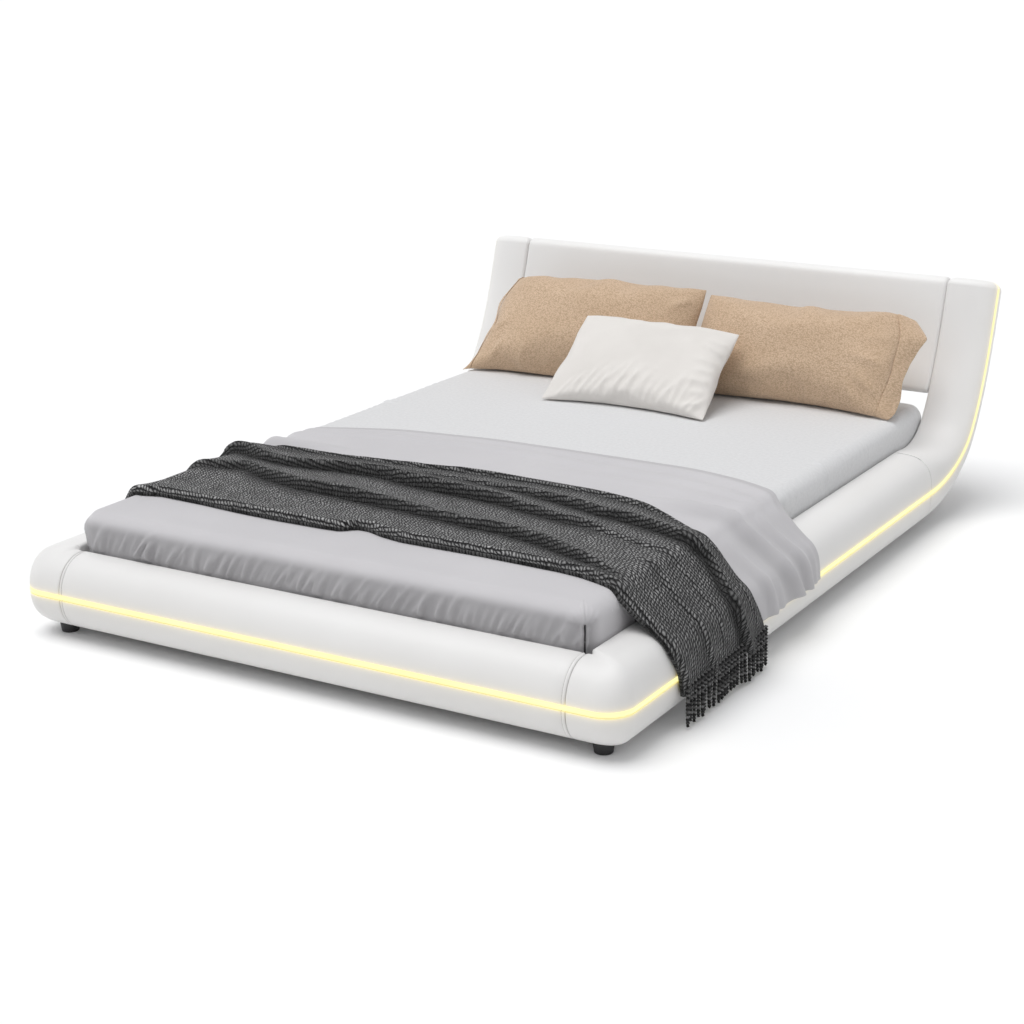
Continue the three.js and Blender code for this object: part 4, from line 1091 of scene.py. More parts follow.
# %% Edges of the throw
NEAR_EDGE = ((-0.97, -0.72), (-0.80, -0.78), (-0.71, -0.825), (-0.655, -0.835), (-0.606, -0.817), (-0.478, -0.822),
             (-0.348, -0.833), (-0.227, -0.837), (-0.113, -0.835), (-0.059, -0.831), (-0.035, -0.80), (0.0, -0.800),
             (0.042, -0.817), (0.107, -0.830), (0.213, -0.829), (0.318, -0.827), (0.423, -0.831), (0.526, -0.835),
             (0.58, -0.843), (0.64, -0.862), (0.69, -0.884), (0.74, -0.886), (0.79, -0.878), (0.826, -0.878),
             (0.856, -0.881), (0.882, -0.870), (0.911, -0.852), (0.972, -0.836))
FAR_EDGE = ((-0.97, -0.45), (-0.80, -0.38), (-0.70, -0.355), (-0.627, -0.34), (-0.574, -0.322), (-0.447, -0.319),
            (-0.385, -0.317), (-0.267, -0.306), (-0.152, -0.295), (-0.043, -0.276), (0.069, -0.265), (0.183, -0.262),
            (0.3, -0.267), (0.425, -0.295), (0.497, -0.33), (0.578, -0.386), (0.663, -0.448), (0.711, -0.436),
            (0.747, -0.448), (0.806, -0.466), (0.867, -0.466), (0.913, -0.436), (0.945, -0.42), (1.035, -0.41))


def soft_interp(at, table, reach=0.016):
    """A value of the table, rounded off within the reach."""
    table = np.asarray(table)
    return sum(np.interp(at + d, table[:, 0], table[:, 1]) for d in np.linspace(-reach, reach, 5)) / 5

# %% [markdown]
# ## Flat sheet
#
# The flat sheet covers the foot half. At the foot it is tucked behind the rail with soft puckers,
# and its corner is folded over a slit. Beside the throw it comes out of the tuck and falls over
# both side rails. A pucker is a rounded ridge on a leaning line, and a seeded list holds them. The
# long folds of the falling part follow lines over the cloth.

# %% Flat sheet: edge, falls and fold lines
HEAD_EDGE = ((-0.93, -0.19), (-0.737, -0.120), (-0.455, 0.003), (-0.162, 0.046), (0.144, 0.048), (0.434, 0.046),
             (0.60, 0.005), (0.664, -0.032), (0.73, -0.062), (0.83, -0.078), (0.93, -0.066))
SLIT_Y, SLIT_TURN, SLIT_TOP, RAIL_TOP, SHEET_GAP = -0.748, 0.593, 0.262, LINE_Z + FOOT[1], 0.0034
ROUND_CORNER = CORNER_R + SHEET_GAP
HEAD_ROUNDING, WING_ROUNDING, WING_FULLNESS = 0.05, 0.025, 1.8
tuck = tucked_fall(SHEET_GAP, 0.1795)
drape = draped_fall(SHEET_GAP, 0.1085, 0.0018)
drape_run = run_of(drape)
# Line, height, half width in front of it and behind it
WING_FOLDS = (
    (((0.35, -0.268), (0.507, -0.256), (0.623, -0.268), (0.705, -0.272), (0.786, -0.257), (0.85, -0.250),
      (0.906, -0.212), (0.96, -0.175)), 0.0095, 0.028, 0.016),
    (((0.60, -0.172), (0.654, -0.178), (0.707, -0.186), (0.756, -0.184), (0.807, -0.183), (0.853, -0.168),
      (0.96, -0.135)), 0.0085, 0.015, 0.022),
    (((0.60, -0.37), (0.713, -0.379), (0.76, -0.388), (0.83, -0.376), (0.96, -0.34)), 0.0065, 0.016, 0.020),
    (((0.70, -0.325), (0.80, -0.335), (0.87, -0.322), (0.96, -0.29)), 0.004, 0.010, 0.014),
    (((0.70, -0.115), (0.80, -0.118), (0.96, -0.10)), 0.003, 0.012, 0.014),
)
# Place, lean, half width, height and top
chance = np.random.default_rng(11)
PUCKERS, at = [], -0.655
while at < 0.66:
    strong = chance.random() < 0.28
    PUCKERS.append((at, chance.uniform(0.15, 0.75), chance.uniform(0.0035, 0.006) * (1.3 if strong else 1),
                    chance.uniform(0.007, 0.010) if strong else chance.uniform(0.002, 0.0055),
                    TOP_Z - chance.uniform(0.006, 0.03)))
    at += chance.uniform(0.010, 0.024)
PUCKERS += [(-0.672, -0.5, 0.0045, 0.006, 0.292), (-0.652, -0.7, 0.005, 0.006, 0.295),
            (-0.69, -0.2, 0.004, 0.005, 0.29)]
# Degrees from upright, and height, of the creases that run together at the slit
SLIT_CREASES = ((-75, 0.004), (-52, 0.005), (-30, 0.0035), (-8, 0.005), (16, 0.0035), (38, 0.005), (62, 0.004))
print("puckers at the foot:", len(PUCKERS))


def head_edge(x):
    return float(soft_interp(x, HEAD_EDGE, HEAD_ROUNDING))


def sheet_side(y):
    share = float(smooth_step((y - SLIT_Y + 0.03) / 0.06))
    return tuck + (drape - tuck) * share

# %% Flat sheet: its cloth
fans = np.sort(np.concatenate((np.linspace(0, math.pi / 2, 25),
                               SLIT_TURN + np.array((-0.16, -0.11, -0.07, -0.025, 0.025, 0.07, 0.11, 0.16)))))
flat_sheet = weld("flat_cloth", cloth_nets(tuck, sheet_side, head_edge, 62, 340, fans, 1.7), flat_cloth)


def ridge(distance, half_width):
    return np.exp(-(distance / half_width) ** 2)


def sheet_places(points):
    """Distance across the cloth, and how far round the front corners a point lies."""
    x, y, z = points.T
    line = resample(drape, 300)
    beyond = np.hypot(np.abs(x)[:, None] - TURN_X - line[None, :, 0], z[:, None] - line[None, :, 1])
    across = np.where(np.abs(x) < TURN_X, np.abs(x), TURN_X + drape_run[-1] * beyond.argmin(1) / (len(line) - 1))
    turn = np.arctan2(np.maximum(np.abs(x) - TURN_X, 0), np.maximum(TURN_Y - y, 1e-6))
    return across, np.where(y < TURN_Y, turn, math.pi / 2)


def foot_folds(points, turn):
    """Puckers over the tuck at the foot, the creases round the slit, and the slit's own lips."""
    x, y, z = points.T
    foot = x + np.sign(x) * (np.abs(x) > TURN_X) * (TURN_X + ROUND_CORNER * turn - np.abs(x))
    up = z - RAIL_TOP
    front = np.zeros(len(x))
    for at, lean, half, height, top in PUCKERS:
        off = foot - at - lean * up - 2.5 * lean * up ** 2
        front += height * ridge(off, half * (1 + 9 * np.maximum(up, 0))) * smooth_step((top - z) / 0.045)
    beside, above = foot - TURN_X - ROUND_CORNER * SLIT_TURN, z - SLIT_TOP
    for degrees, height in SLIT_CREASES:
        way = math.radians(degrees)
        out = beside * math.sin(way) + above * math.cos(way)
        off = beside * math.cos(way) - above * math.sin(way)
        length = smooth_step(out / 0.006) * smooth_step((0.05 - out) / 0.03)
        front += height * ridge(off, 0.0018 + 0.11 * np.maximum(out, 0)) * length
    slit = np.abs(turn - SLIT_TURN) * (x > 0)
    below = smooth_step((SLIT_TOP + 0.006 - z) / 0.012) * (x > 0)
    front += 0.0065 * ridge(slit - 0.12, 0.07) * below - 0.0022 * (slit < 0.04) * below
    at_foot = smooth_step((TURN_Y - 0.03 - y + 0.04 * (turn > 0.3)) / 0.012)
    return front * at_foot * smooth_step((up - 0.0015) / 0.012)


def sheet_folds(points):
    """The folds at the foot, and behind the throw the rolls of the turned-down edge and the long folds."""
    x, y, z = points.T
    across, turn = sheet_places(points)
    clear = smooth_step((y - soft_interp(across, FAR_EDGE)) / 0.03)
    back = soft_interp(x, HEAD_EDGE, HEAD_ROUNDING) - y
    waves = 0.0012 * (1 + clouds(points, 6.0, 5.0))
    rolls = 0.0042 * ridge(back - 0.034, 0.016) + 0.0045 * ridge(back - 0.092 - 0.02 * np.sin(x * 3.1), 0.02)
    rolls += 0.004 * ridge(back - 0.15 - 0.04 * np.sin(x * 2.3 + 1), 0.022) * smooth_step((x + 0.2) / 0.5)
    hung = np.zeros(len(x))
    for line, height, before, after in WING_FOLDS:
        gap = y - soft_interp(across, line, WING_ROUNDING)
        grown = smooth_step((across - line[0][0]) / 0.25)
        hung = np.maximum(hung, height * grown * ridge(gap, np.where(gap < 0, before, after)))
    hung_over = clear * (waves + rolls * smooth_step((0.78 - across) / 0.12) + WING_FULLNESS * hung)
    return foot_folds(points, turn) + hung_over


def painted_sheet_shade(points):
    """Painted shade on the cloth: black in the slit, a band behind its hem, darker as it falls, and in front of the
    long folds of its wing.
    """
    x, y, z = points.T
    across, turn = sheet_places(points)
    # Painted shade: the slit is black.
    slit = 1.0 * (np.abs(turn - SLIT_TURN) < 0.045) * (x > 0) * (z < SLIT_TOP + 0.004) * (y < TURN_Y)
    back = soft_interp(np.sign(x) * across, HEAD_EDGE, HEAD_ROUNDING) - y
    # Painted shade in a band behind the hem at the head edge.
    hem = 0.13 * smooth_step((0.033 - back) / 0.006) * smooth_step((0.80 - across) / 0.1)
    # Painted shade where the cloth falls from the top, and down the wing.
    falling_shade = 0.36 * smooth_step((TOP_Z - 0.008 - z) / 0.026) * smooth_step((1.45 - turn) / 0.8)
    falling_shade += 0.12 * smooth_step((across - 0.69) / 0.06) * (y > SLIT_Y)
    # Painted shade in front of each long fold of the wing.
    for line, height, before, after in WING_FOLDS:
        gap = y - soft_interp(across, line, WING_ROUNDING)
        falling_shade += 16 * height * smooth_step((across - line[0][0] - 0.1) / 0.2) * ridge(gap + 1.3 * before, before)
    return np.maximum.reduce((slit, hem, falling_shade))


set_field(flat_sheet, PAINTED_SHADE, painted_sheet_shade(local_points(flat_sheet)))
move_out(flat_sheet, sheet_folds)
thicken(flat_sheet, 0.0016)
rides(flat_sheet, "mattress_set", "flat_sheet", "flat_sheet")

# %% [markdown]
# ## Throw
#
# A heavy knitted cloth lies across the bed and falls over both rails. Its look comes from a few
# long folds that run with it. Each fold starts at a valley line: just behind the line the cloth
# stands up steeply, and from there it sinks slowly towards the next one. The stitches are in the
# finish, on a map in real metres, so they follow the folds.

# %% Throw: valley lines, each with the height of the fold behind it and how slowly it sinks
FOLD_LINES = (
    (((-0.97, -0.60), (-0.70, -0.595), (-0.595, -0.568), (-0.558, -0.547), (-0.494, -0.584), (-0.393, -0.618),
      (-0.319, -0.636), (-0.199, -0.636), (-0.133, -0.646), (-0.009, -0.659), (0.116, -0.679), (0.205, -0.69),
      (0.289, -0.694), (0.351, -0.71), (0.416, -0.731), (0.486, -0.764), (0.551, -0.791), (0.615, -0.816),
      (0.688, -0.859), (0.80, -0.86), (0.972, -0.82)),
     ((-0.62, 0.018), (-0.5, 0.025), (0.55, 0.023), (0.66, 0.013), (0.74, 0.004)), 0.075),
    (((-0.97, -0.47), (-0.70, -0.44), (-0.627, -0.446), (-0.563, -0.486), (-0.486, -0.496), (-0.43, -0.486),
      (-0.326, -0.458), (-0.208, -0.453), (-0.135, -0.472), (-0.068, -0.484), (0.054, -0.493), (0.172, -0.502),
      (0.242, -0.527), (0.303, -0.538), (0.367, -0.555), (0.422, -0.559), (0.484, -0.576), (0.62, -0.62),
      (0.972, -0.68)),
     ((-0.75, 0.022), (-0.6, 0.030), (0.2, 0.026), (0.42, 0.020), (0.52, 0.008), (0.66, 0.006), (0.97, 0.010)), 0.07),
    (((-0.97, -0.42), (-0.5, -0.395), (-0.189, -0.391), (-0.068, -0.394), (0.056, -0.405), (0.176, -0.415),
      (0.301, -0.439), (0.366, -0.457), (0.433, -0.483), (0.485, -0.48), (0.543, -0.491), (0.603, -0.509),
      (0.671, -0.542), (0.724, -0.524), (0.768, -0.541), (0.818, -0.571), (0.868, -0.585), (0.925, -0.556),
      (0.98, -0.533)),
     ((-0.26, 0.0), (-0.15, 0.014), (0.25, 0.020), (0.45, 0.026), (0.97, 0.024)), 0.06),
    (((-0.97, -0.40), (-0.65, -0.358), (-0.584, -0.366), (-0.402, -0.352), (-0.275, -0.355), (-0.112, -0.327),
      (0.0, -0.315), (0.119, -0.319), (0.235, -0.323), (0.348, -0.327), (0.474, -0.359), (0.623, -0.446),
      (0.697, -0.484), (0.767, -0.487), (0.853, -0.519), (0.937, -0.48)),
     ((-0.7, 0.014), (0.35, 0.013), (0.97, 0.012)), 0.05),
    (((-0.97, -0.66), (0.62, -0.70), (0.70, -0.72), (0.80, -0.745), (0.88, -0.74), (0.972, -0.70)),
     ((0.58, 0.0), (0.72, 0.010), (0.97, 0.013)), 0.06),
)
THROW_GAP, THROW_THICK, FULLNESS, THROW_LENGTH = 0.0052, 0.0085, 1.25, 0.56
EDGE_ROUNDING, LINE_ROUNDING, RISE_ROUNDING = 0.01, 0.02, 0.03
EDGE_FOLD, EDGE_SINK, VALLEY_FRONT, VALLEY_BACK = 0.014, 0.07, 0.028, 0.020
# How strong the painted shade is along the near edge, in the valleys and over the falls.
EDGE_SHADE, VALLEY_SHADE, FALL_SHADE = 0.8, 0.97, 0.40

# %% Throw: the net, its folds and its thick edge
throw_fall = draped_fall(THROW_GAP, 0.0765, 0.0042)
fall_run = run_of(throw_fall)
CROSS = TURN_X + fall_run[-1]
print("throw, across from the middle:", round(float(CROSS), 3))


def cross_place(across):
    """A place across the cloth, from its middle, as x, z and the outward direction there."""
    a, side = np.abs(across), np.sign(across)
    beyond = np.clip(a - TURN_X, 0, fall_run[-1])
    x = np.where(a < TURN_X, a, TURN_X + np.interp(beyond, fall_run, throw_fall[:, 0]))
    z = np.interp(beyond, fall_run, throw_fall[:, 1])
    step = 0.004
    low, high = np.maximum(beyond - step, 0), np.minimum(beyond + step, fall_run[-1])
    dx, dz = (np.interp(high, fall_run, line) - np.interp(low, fall_run, line) for line in throw_fall.T)
    dx, dz = np.where(a < TURN_X, 1.0, dx), np.where(a < TURN_X, 0.0, dz)
    size = np.hypot(dx, dz)
    return side * x, z, side * (-dz / size), dx / size


def fold_height(across, along):
    """Height of the cloth over its lowest line, in metres."""
    near, far = soft_interp(across, NEAR_EDGE, EDGE_ROUNDING), soft_interp(across, FAR_EDGE)
    edge = along - near
    height = 0.0018 * (1 + np.sin(across * 17 + along * 9))
    sinking = np.exp(-np.maximum(edge - 0.016, 0) / EDGE_SINK)
    height = np.maximum(height, EDGE_FOLD * smooth_step(edge / 0.016) * sinking)
    for line, rises, sink in FOLD_LINES:
        behind = along - soft_interp(across, line, LINE_ROUNDING)
        rise = soft_interp(across, rises, RISE_ROUNDING) * (0.92 + 0.12 * np.sin(across * 9.1 + sink * 300))
        sinking = np.exp(-np.maximum(behind - 0.016, 0) / sink)
        height = np.maximum(height, FULLNESS * rise * smooth_step((behind + 0.003) / 0.020) * sinking)
    inside = smooth_step(edge / 0.012) * smooth_step((far - along) / 0.03)
    fall = smooth_step((np.abs(across) - 0.66) / 0.12)
    return height * (0.06 + 0.94 * inside) * (1 - 0.35 * fall)


def painted_throw_shade(across, along):
    """Painted shade on the knit: how deep in a fold, out of the light, each place lies, along its near edge, and over
    its falls.
    """
    deep = EDGE_SHADE * ridge(along - soft_interp(across, NEAR_EDGE, EDGE_ROUNDING), 0.007)
    for line, rises, sink in FOLD_LINES:
        behind = along - soft_interp(across, line, LINE_ROUNDING)
        strength = np.clip(soft_interp(across, rises, RISE_ROUNDING) / 0.022, 0, 1)
        valley = ridge(behind, np.where(behind < 0, VALLEY_FRONT, VALLEY_BACK))
        deep = np.maximum(deep, VALLEY_SHADE * strength * valley)
    return np.maximum(deep, FALL_SHADE * smooth_step((across - 0.60) / 0.22))


columns, shares = np.linspace(-CROSS, CROSS, 330), np.linspace(0, 1, 126)
near, far = soft_interp(columns, NEAR_EDGE, EDGE_ROUNDING), soft_interp(columns, FAR_EDGE)
along = near[None] + shares[:, None] * (far - near)[None]
across = np.broadcast_to(columns, along.shape)
x, z, out_x, out_z = cross_place(across)
lift = fold_height(across, along) + THROW_THICK / 2
points = np.stack((x + out_x * lift, along, z + out_z * lift), 2)
steps = np.linalg.norm(np.diff(points, axis=0), axis=2)
width_run = np.concatenate((np.zeros((1, len(columns))), np.cumsum(steps, axis=0)))
throw = weld("throw_cloth", [(points, np.stack((across, width_run + near[None]), 2))], throw_knit)
# Painted shade on the throw, in its folds and over its falls.
set_field(throw, PAINTED_SHADE, painted_throw_shade(across, along).ravel())
throw.data.shade_smooth()
thicken(throw, THROW_THICK)
rides(throw, "throw_set", "throw_knit", "throw")

# %% [markdown]
# ## Fringe
#
# The throw's hems end in strands of twisted yarn. One strand is two plies wound round each other.
# Geometry Nodes sets a strand at each place along the hem, and turns and shortens each a little,
# with a fixed seed.

# %% One strand of the fringe
PLIES, PLY_RADIUS, PLY_SPREAD, STRAND_LENGTH, STRAND_TURNS = 2, 0.0028, 0.0021, 0.103, 6.5


def strand_mesh(sides=7, steps=52):
    patches = []
    round_ply = [np.array((math.cos(b), math.sin(b), 0)) for b in np.linspace(0, 2 * math.pi, sides, endpoint=False)]
    for ply in range(PLIES):
        rings = []
        for i in range(steps + 1):
            t = i / steps
            spread = PLY_SPREAD * min(1, 2.5 * (1 - t) + 0.6)
            a = 2 * math.pi * (STRAND_TURNS * t + ply / PLIES)
            centre = np.array((spread * math.cos(a), spread * math.sin(a), -STRAND_LENGTH * t))
            radius = PLY_RADIUS * (0.5 if i in (0, steps) else 1.0) * (1 - 0.12 * smooth_step((t - 0.9) / 0.1))
            rings.append([centre + radius * way for way in round_ply])
        rings = np.array(rings)
        flat = np.stack((rings[:, :, 2], np.full(rings.shape[:2], 0.2)), 2)
        patches.append((rings - np.array((0, MIDDLE_Y, 0)), flat))
    return weld("strand", patches, fringe_yarn, caps=(0, -1), close_rows=True)


fringe_tree, f_in, f_out = start_tree("Fringe along a hem", [
    ("Count", "NodeSocketInt", 25), ("Strand", "NodeSocketObject", None), ("Lean", "NodeSocketFloat", 0.05),
    ("Seed", "NodeSocketInt", 4), ("Finish", "NodeSocketMaterial", None),
])
hem_points = place(fringe_tree, "GeometryNodeCurveToPoints", {
    "Curve": f_in.outputs["Geometry"], "Count": f_in.outputs["Count"],
}, mode="COUNT")
strand_info = place(fringe_tree, "GeometryNodeObjectInfo", {"Object": f_in.outputs["Strand"]})
swing = place(fringe_tree, "FunctionNodeRandomValue", {
    0: (-1.0, -1.0, -3.0), 1: (1.0, 1.0, 3.0), "Seed": f_in.outputs["Seed"],
}, data_type="FLOAT_VECTOR")
lean = place(fringe_tree, "ShaderNodeVectorMath", {0: swing.outputs[0]}, operation="MULTIPLY")
lean_by = place(fringe_tree, "ShaderNodeCombineXYZ", {0: f_in.outputs["Lean"], 1: 0.0, 2: 1.0})
fringe_tree.links.new(lean_by.outputs[0], lean.inputs[1])
stretch = place(fringe_tree, "FunctionNodeRandomValue", {
    2: 0.9, 3: 1.0, "Seed": f_in.outputs["Seed"],
}, data_type="FLOAT")
scale = place(fringe_tree, "ShaderNodeCombineXYZ", {0: 1.0, 1: 1.0, 2: stretch.outputs[1]})
hung = place(fringe_tree, "GeometryNodeInstanceOnPoints", {
    "Points": hem_points.outputs["Points"], "Instance": strand_info.outputs["Geometry"],
    "Rotation": lean.outputs[0], "Scale": scale.outputs[0],
})
end_tree(fringe_tree, hung.outputs[0], f_in.outputs["Finish"], f_out)

# %% Fringe on both hems
HEM_CALM, HEM_OUT, HEM_UP, FRINGE_PAINTED_SHADE = 0.3, 0.0062, 0.030, 0.4
strand = strand_mesh()
for side_name, side in SIDES:
    hem = points[2:-2, -1 if side > 0 else 0].copy()
    middle = np.median(hem[:, 0])
    hem[:, 0] = middle + HEM_CALM * (hem[:, 0] - middle) + side * HEM_OUT
    hem[:, 2] += HEM_UP
    made = grow(f"fringe_{side_name}", path_curve("hem", hem), fringe_tree, {"Strand": strand, "Finish": fringe_yarn})
    # Painted shade over the whole fringe, as strong as over the throw's falls.
    set_field(made, PAINTED_SHADE, np.full(len(made.data.vertices), FRINGE_PAINTED_SHADE))
    made.data.shade_smooth()
    rides(made, "throw_set", "throw_knit", f"throw_fringe_{side_name}")
bpy.data.objects.remove(strand)

# %% [markdown]
# ## Pillows and cushion
#
# A case is sewn flat from two layers and stuffed. The cloth simulation does just that: two layers
# of one net, joined along their rim, are blown up with gravity off. Their sides pull in between
# the corners and creases run in from the seams, as on the real ones. Then the case is laid between
# its rims: the lower one lies on the sheet, and the upper one leans back. The outer end of each
# large pillow has a loose flap.

# %% Sewing and stuffing a case
def back_of(front):
    """Numbers of the back layer's points, which shares its rim with the front layer."""
    rows, columns = front.shape
    back = front.copy()
    back[1:-1, 1:-1] = rows * columns + np.arange((rows - 2) * (columns - 2)).reshape(rows - 2, columns - 2)
    return back


def pouch(across, up, lift):
    """Points and faces of two layers that share their rim, and the numbers of the front layer."""
    rows, columns = across.shape
    front = np.arange(rows * columns).reshape(rows, columns)
    back = back_of(front)
    layer = np.stack((across, up, lift), 2)
    verts = np.concatenate((layer.reshape(-1, 3), (layer * (1, 1, -1))[1:-1, 1:-1].reshape(-1, 3)))
    faces = []
    for net, way in ((front, 1), (back, -1)):
        for i in range(rows - 1):
            for j in range(columns - 1):
                faces.append((net[i, j], net[i, j + 1], net[i + 1, j + 1], net[i + 1, j])[::way])
    return verts, faces, front


STUFF_FRAMES, MOST_MOVED, START_CROWN = 20, 0.16, 0.016


def stuffed(name, width, height, bumps, pressure, pitch):
    """A stuffed case in its own plane; bumps(across, up) starts its creases."""
    columns, rows = int(width / pitch), int(height / pitch)
    across, up = np.meshgrid(np.linspace(-1, 1, columns), np.linspace(-1, 1, rows))
    crown = np.sqrt(np.maximum((1 - across ** 4) * (1 - up ** 4), 0))
    across, up = across * width / 2, up * height / 2
    lift = np.where(crown > 0, START_CROWN * crown + bumps(across, up) * crown, 0)
    verts, faces, front = pouch(across, up, lift)
    mesh = bpy.data.meshes.new(name)
    mesh.from_pydata(verts.tolist(), [], faces)
    case = new_object(name, mesh)
    points = verts.copy()
    cloth = case.modifiers.new("stuffing", "CLOTH").settings
    cloth.quality, cloth.mass, cloth.air_damping = 6, 0.15, 4.0
    cloth.tension_stiffness, cloth.compression_stiffness = 40, 40
    cloth.shear_stiffness, cloth.bending_stiffness = 10, 0.25
    cloth.use_pressure, cloth.uniform_pressure_force = True, pressure
    cloth.effector_weights.gravity = 0
    for frame_number in range(1, STUFF_FRAMES + 1):
        bpy.context.scene.frame_set(frame_number)
    settled = case.evaluated_get(bpy.context.evaluated_depsgraph_get()).data
    found = np.empty(len(settled.vertices) * 3)
    settled.vertices.foreach_get("co", found)
    moved = found.reshape(-1, 3) - verts
    length = np.linalg.norm(moved, axis=1)[:, None]
    points = verts + moved * np.minimum(1, MOST_MOVED / np.maximum(length, 1e-9))
    bpy.context.scene.frame_set(1)
    bpy.data.objects.remove(case)
    bpy.data.meshes.remove(mesh)
    return points, faces, front, verts[:, :2]


BLUR_REACH, LEVELLED = 4.0, 0.85


def blurred(values, reach):
    """Values of a net, blurred along its rows."""
    steps = np.arange(-3 * int(reach), 3 * int(reach) + 1)
    weight = np.exp(-(steps / reach) ** 2)
    wide = np.pad(values, ((0, 0), (steps[-1], steps[-1])), mode="reflect", reflect_type="odd")
    return np.stack([np.convolve(row, weight / weight.sum(), mode="valid") for row in wide])


def along_ring(at, values, ring):
    """The ring's values, read off where every point is beside the ring."""
    order = ring[np.argsort(at[ring])]
    return np.interp(at, at[order], values[order])


def to_rims(points, front, rims, thick):
    """Lays a case between its rims: x, share of the height, and how far it stands off its own plane."""
    x, y, z = points.T.copy()
    bottom, top, left, right = front[0], front[-1], front[:, 0], front[:, -1]
    lowest, highest = along_ring(x, y, bottom), along_ring(x, y, top)
    first, last = along_ring(y, x, left), along_ring(y, x, right)
    up = np.clip((y - lowest) / (highest - lowest), 0, 1)
    across = np.clip((x - first) / (last - first), 0, 1)
    for net in (front, back_of(front)):
        z[net[1:-1]] = (1 - LEVELLED) * z[net[1:-1]] + LEVELLED * blurred(z[net], BLUR_REACH)[1:-1]
        up[net], across[net] = blurred(up[net], BLUR_REACH), blurred(across[net].T, BLUR_REACH).T
    for inwards, ring, at in ((up, bottom, across), (1 - up, top, across),
                              (across, left, up), (1 - across, right, up)):
        z = z - LEVELLED * along_ring(at, z, ring) * ridge(inwards, 0.12)
    left, right = (np.interp(up, *np.array(rims[name]).T) for name in ("left", "right"))
    return np.stack((left + across * (right - left), up, z * thick / np.abs(z).max()), 1)


def crease(points, lines):
    """Ridges on the front face: each from a start, in a direction, with a length, width and height."""
    for x0, y0, degrees, length, width, height in lines:
        way = math.radians(degrees)
        out = (points[:, 0] - x0) * math.cos(way) + (points[:, 1] - y0) * math.sin(way)
        off = (points[:, 1] - y0) * math.cos(way) - (points[:, 0] - x0) * math.sin(way)
        grown = smooth_step(out / 0.012 + 0.4) * smooth_step((length - out) / (0.6 * length))
        raised = height * grown * ridge(off, width * (1 + 3 * np.maximum(out, 0)))
        points[:, 2] += raised * (points[:, 2] > 0)
    return points

# %% Flap of a large pillow's outer end
def rim_of(net):
    """Numbers of a net's points once round its rim."""
    return [*net[0], *net[1:, -1], *net[-1, -2::-1], *net[-2:0:-1, 0]]


def flap(inside, seam, seam_map, side, widths):
    """A thin closed strip sewn on along the seam, as two layers with a hem; points, faces and map."""
    count, steps, thick, droop = len(seam), 9, 0.0016, 0.012
    up = seam[:, 1]
    wide = np.interp(up, *np.array(widths).T)
    t = np.linspace(0, 1, steps)[None, :, None]
    wave, fall = 0.006 * np.sin(up * 55 + 0.8)[:, None, None] * t, droop * t ** 2
    tip = np.concatenate(np.broadcast_arrays(side * wide[:, None, None] * t, -0.5 * fall, wave - fall), 2)
    middle = inside[:, None] * (1 - t) + seam[:, None] * t + tip
    layers = [middle + (0, 0, 1) * (face * thick + 0.0015 * (1 - t)) for face in (1, -1)]
    verts = np.concatenate([layer.reshape(-1, 3) for layer in layers])
    number = np.arange(count * steps * 2).reshape(2, count, steps)
    faces = []
    for net, way in ((number[0], side), (number[1], -side)):
        for i in range(count - 1):
            for j in range(steps - 1):
                faces.append(tuple((net[i, j], net[i, j + 1], net[i + 1, j + 1], net[i + 1, j])[::way]))
    rim, under = rim_of(number[0]), rim_of(number[1])
    for k in range(len(rim)):
        following = (k + 1) % len(rim)
        faces.append((rim[k], under[k], under[following], rim[following]))
    out = side * wide[:, None] * np.linspace(0, 1, steps)[None]
    flat = (seam_map[:, None] + np.stack((out, np.zeros_like(out)), 2)).reshape(-1, 2)
    return verts, faces, np.concatenate((flat, flat))

# %% Laying a case in its place
SOFT_REST = 0.008


def lay_case(name, node, body, slot, material, size, bumps, pressure, rims, thick, lines, pitch=0.0085,
             side=0, widths=()):
    """side, -1 or 1, is the end with a flap, and widths say how wide that is along its seam."""
    rests_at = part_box(node)[0].z
    points, faces, front, flat = stuffed(name, *size, bumps, pressure, pitch)
    points = to_rims(points, front, rims, thick)
    rise, reach = rims["top"][0][1] - rims["rest"], rims["lean_on"] - rims["bottom"][1][1]
    slope, t = math.hypot(rise, reach), math.atan2(rise, reach)
    points[:, 1] *= slope
    points = crease(points, lines)
    if side:
        column, within = front[:, -1 if side > 0 else 0], front[:, -4 if side > 0 else 3]
        extra, more_faces, more_map = flap(points[within], points[column], flat[column], side, widths)
        faces = faces + [tuple(len(points) + v for v in face) for face in more_faces]
        points, flat = np.concatenate((points, extra)), np.concatenate((flat, more_map))
    x, up, off = points.T
    up = up / slope
    foot_y, top_z = np.interp(x, *np.array(rims["bottom"]).T), np.interp(x, *np.array(rims["top"]).T)
    y = foot_y + up * (rims["lean_on"] - foot_y) - off * math.sin(t)
    z = rims["rest"] + up * (top_z - rims["rest"]) + off * math.cos(t)
    z = rests_at + SOFT_REST * np.logaddexp(0, (z - rests_at - 0.001) / SOFT_REST)
    mesh = bpy.data.meshes.new(name)
    mesh.from_pydata((np.stack((x, y, z), 1) + (0, MIDDLE_Y, 0)).tolist(), [], faces)
    add_map(mesh, flat)
    made = finish_mesh(name, mesh, material, 180)
    made.modifiers.new("smooth", "SUBSURF").levels = 1
    bake_modifiers(made)
    made.data.shade_smooth()
    rides(made, body, slot, node)

# %% Two large pillows and the cushion
def creases(seed, size):
    def bumps(across, up):
        places = np.c_[across.ravel(), up.ravel(), np.zeros(across.size)]
        return (size * clouds(places, 14.0, seed) + 0.6 * size * clouds(places, 30.0, seed + 5)).reshape(across.shape)
    return bumps


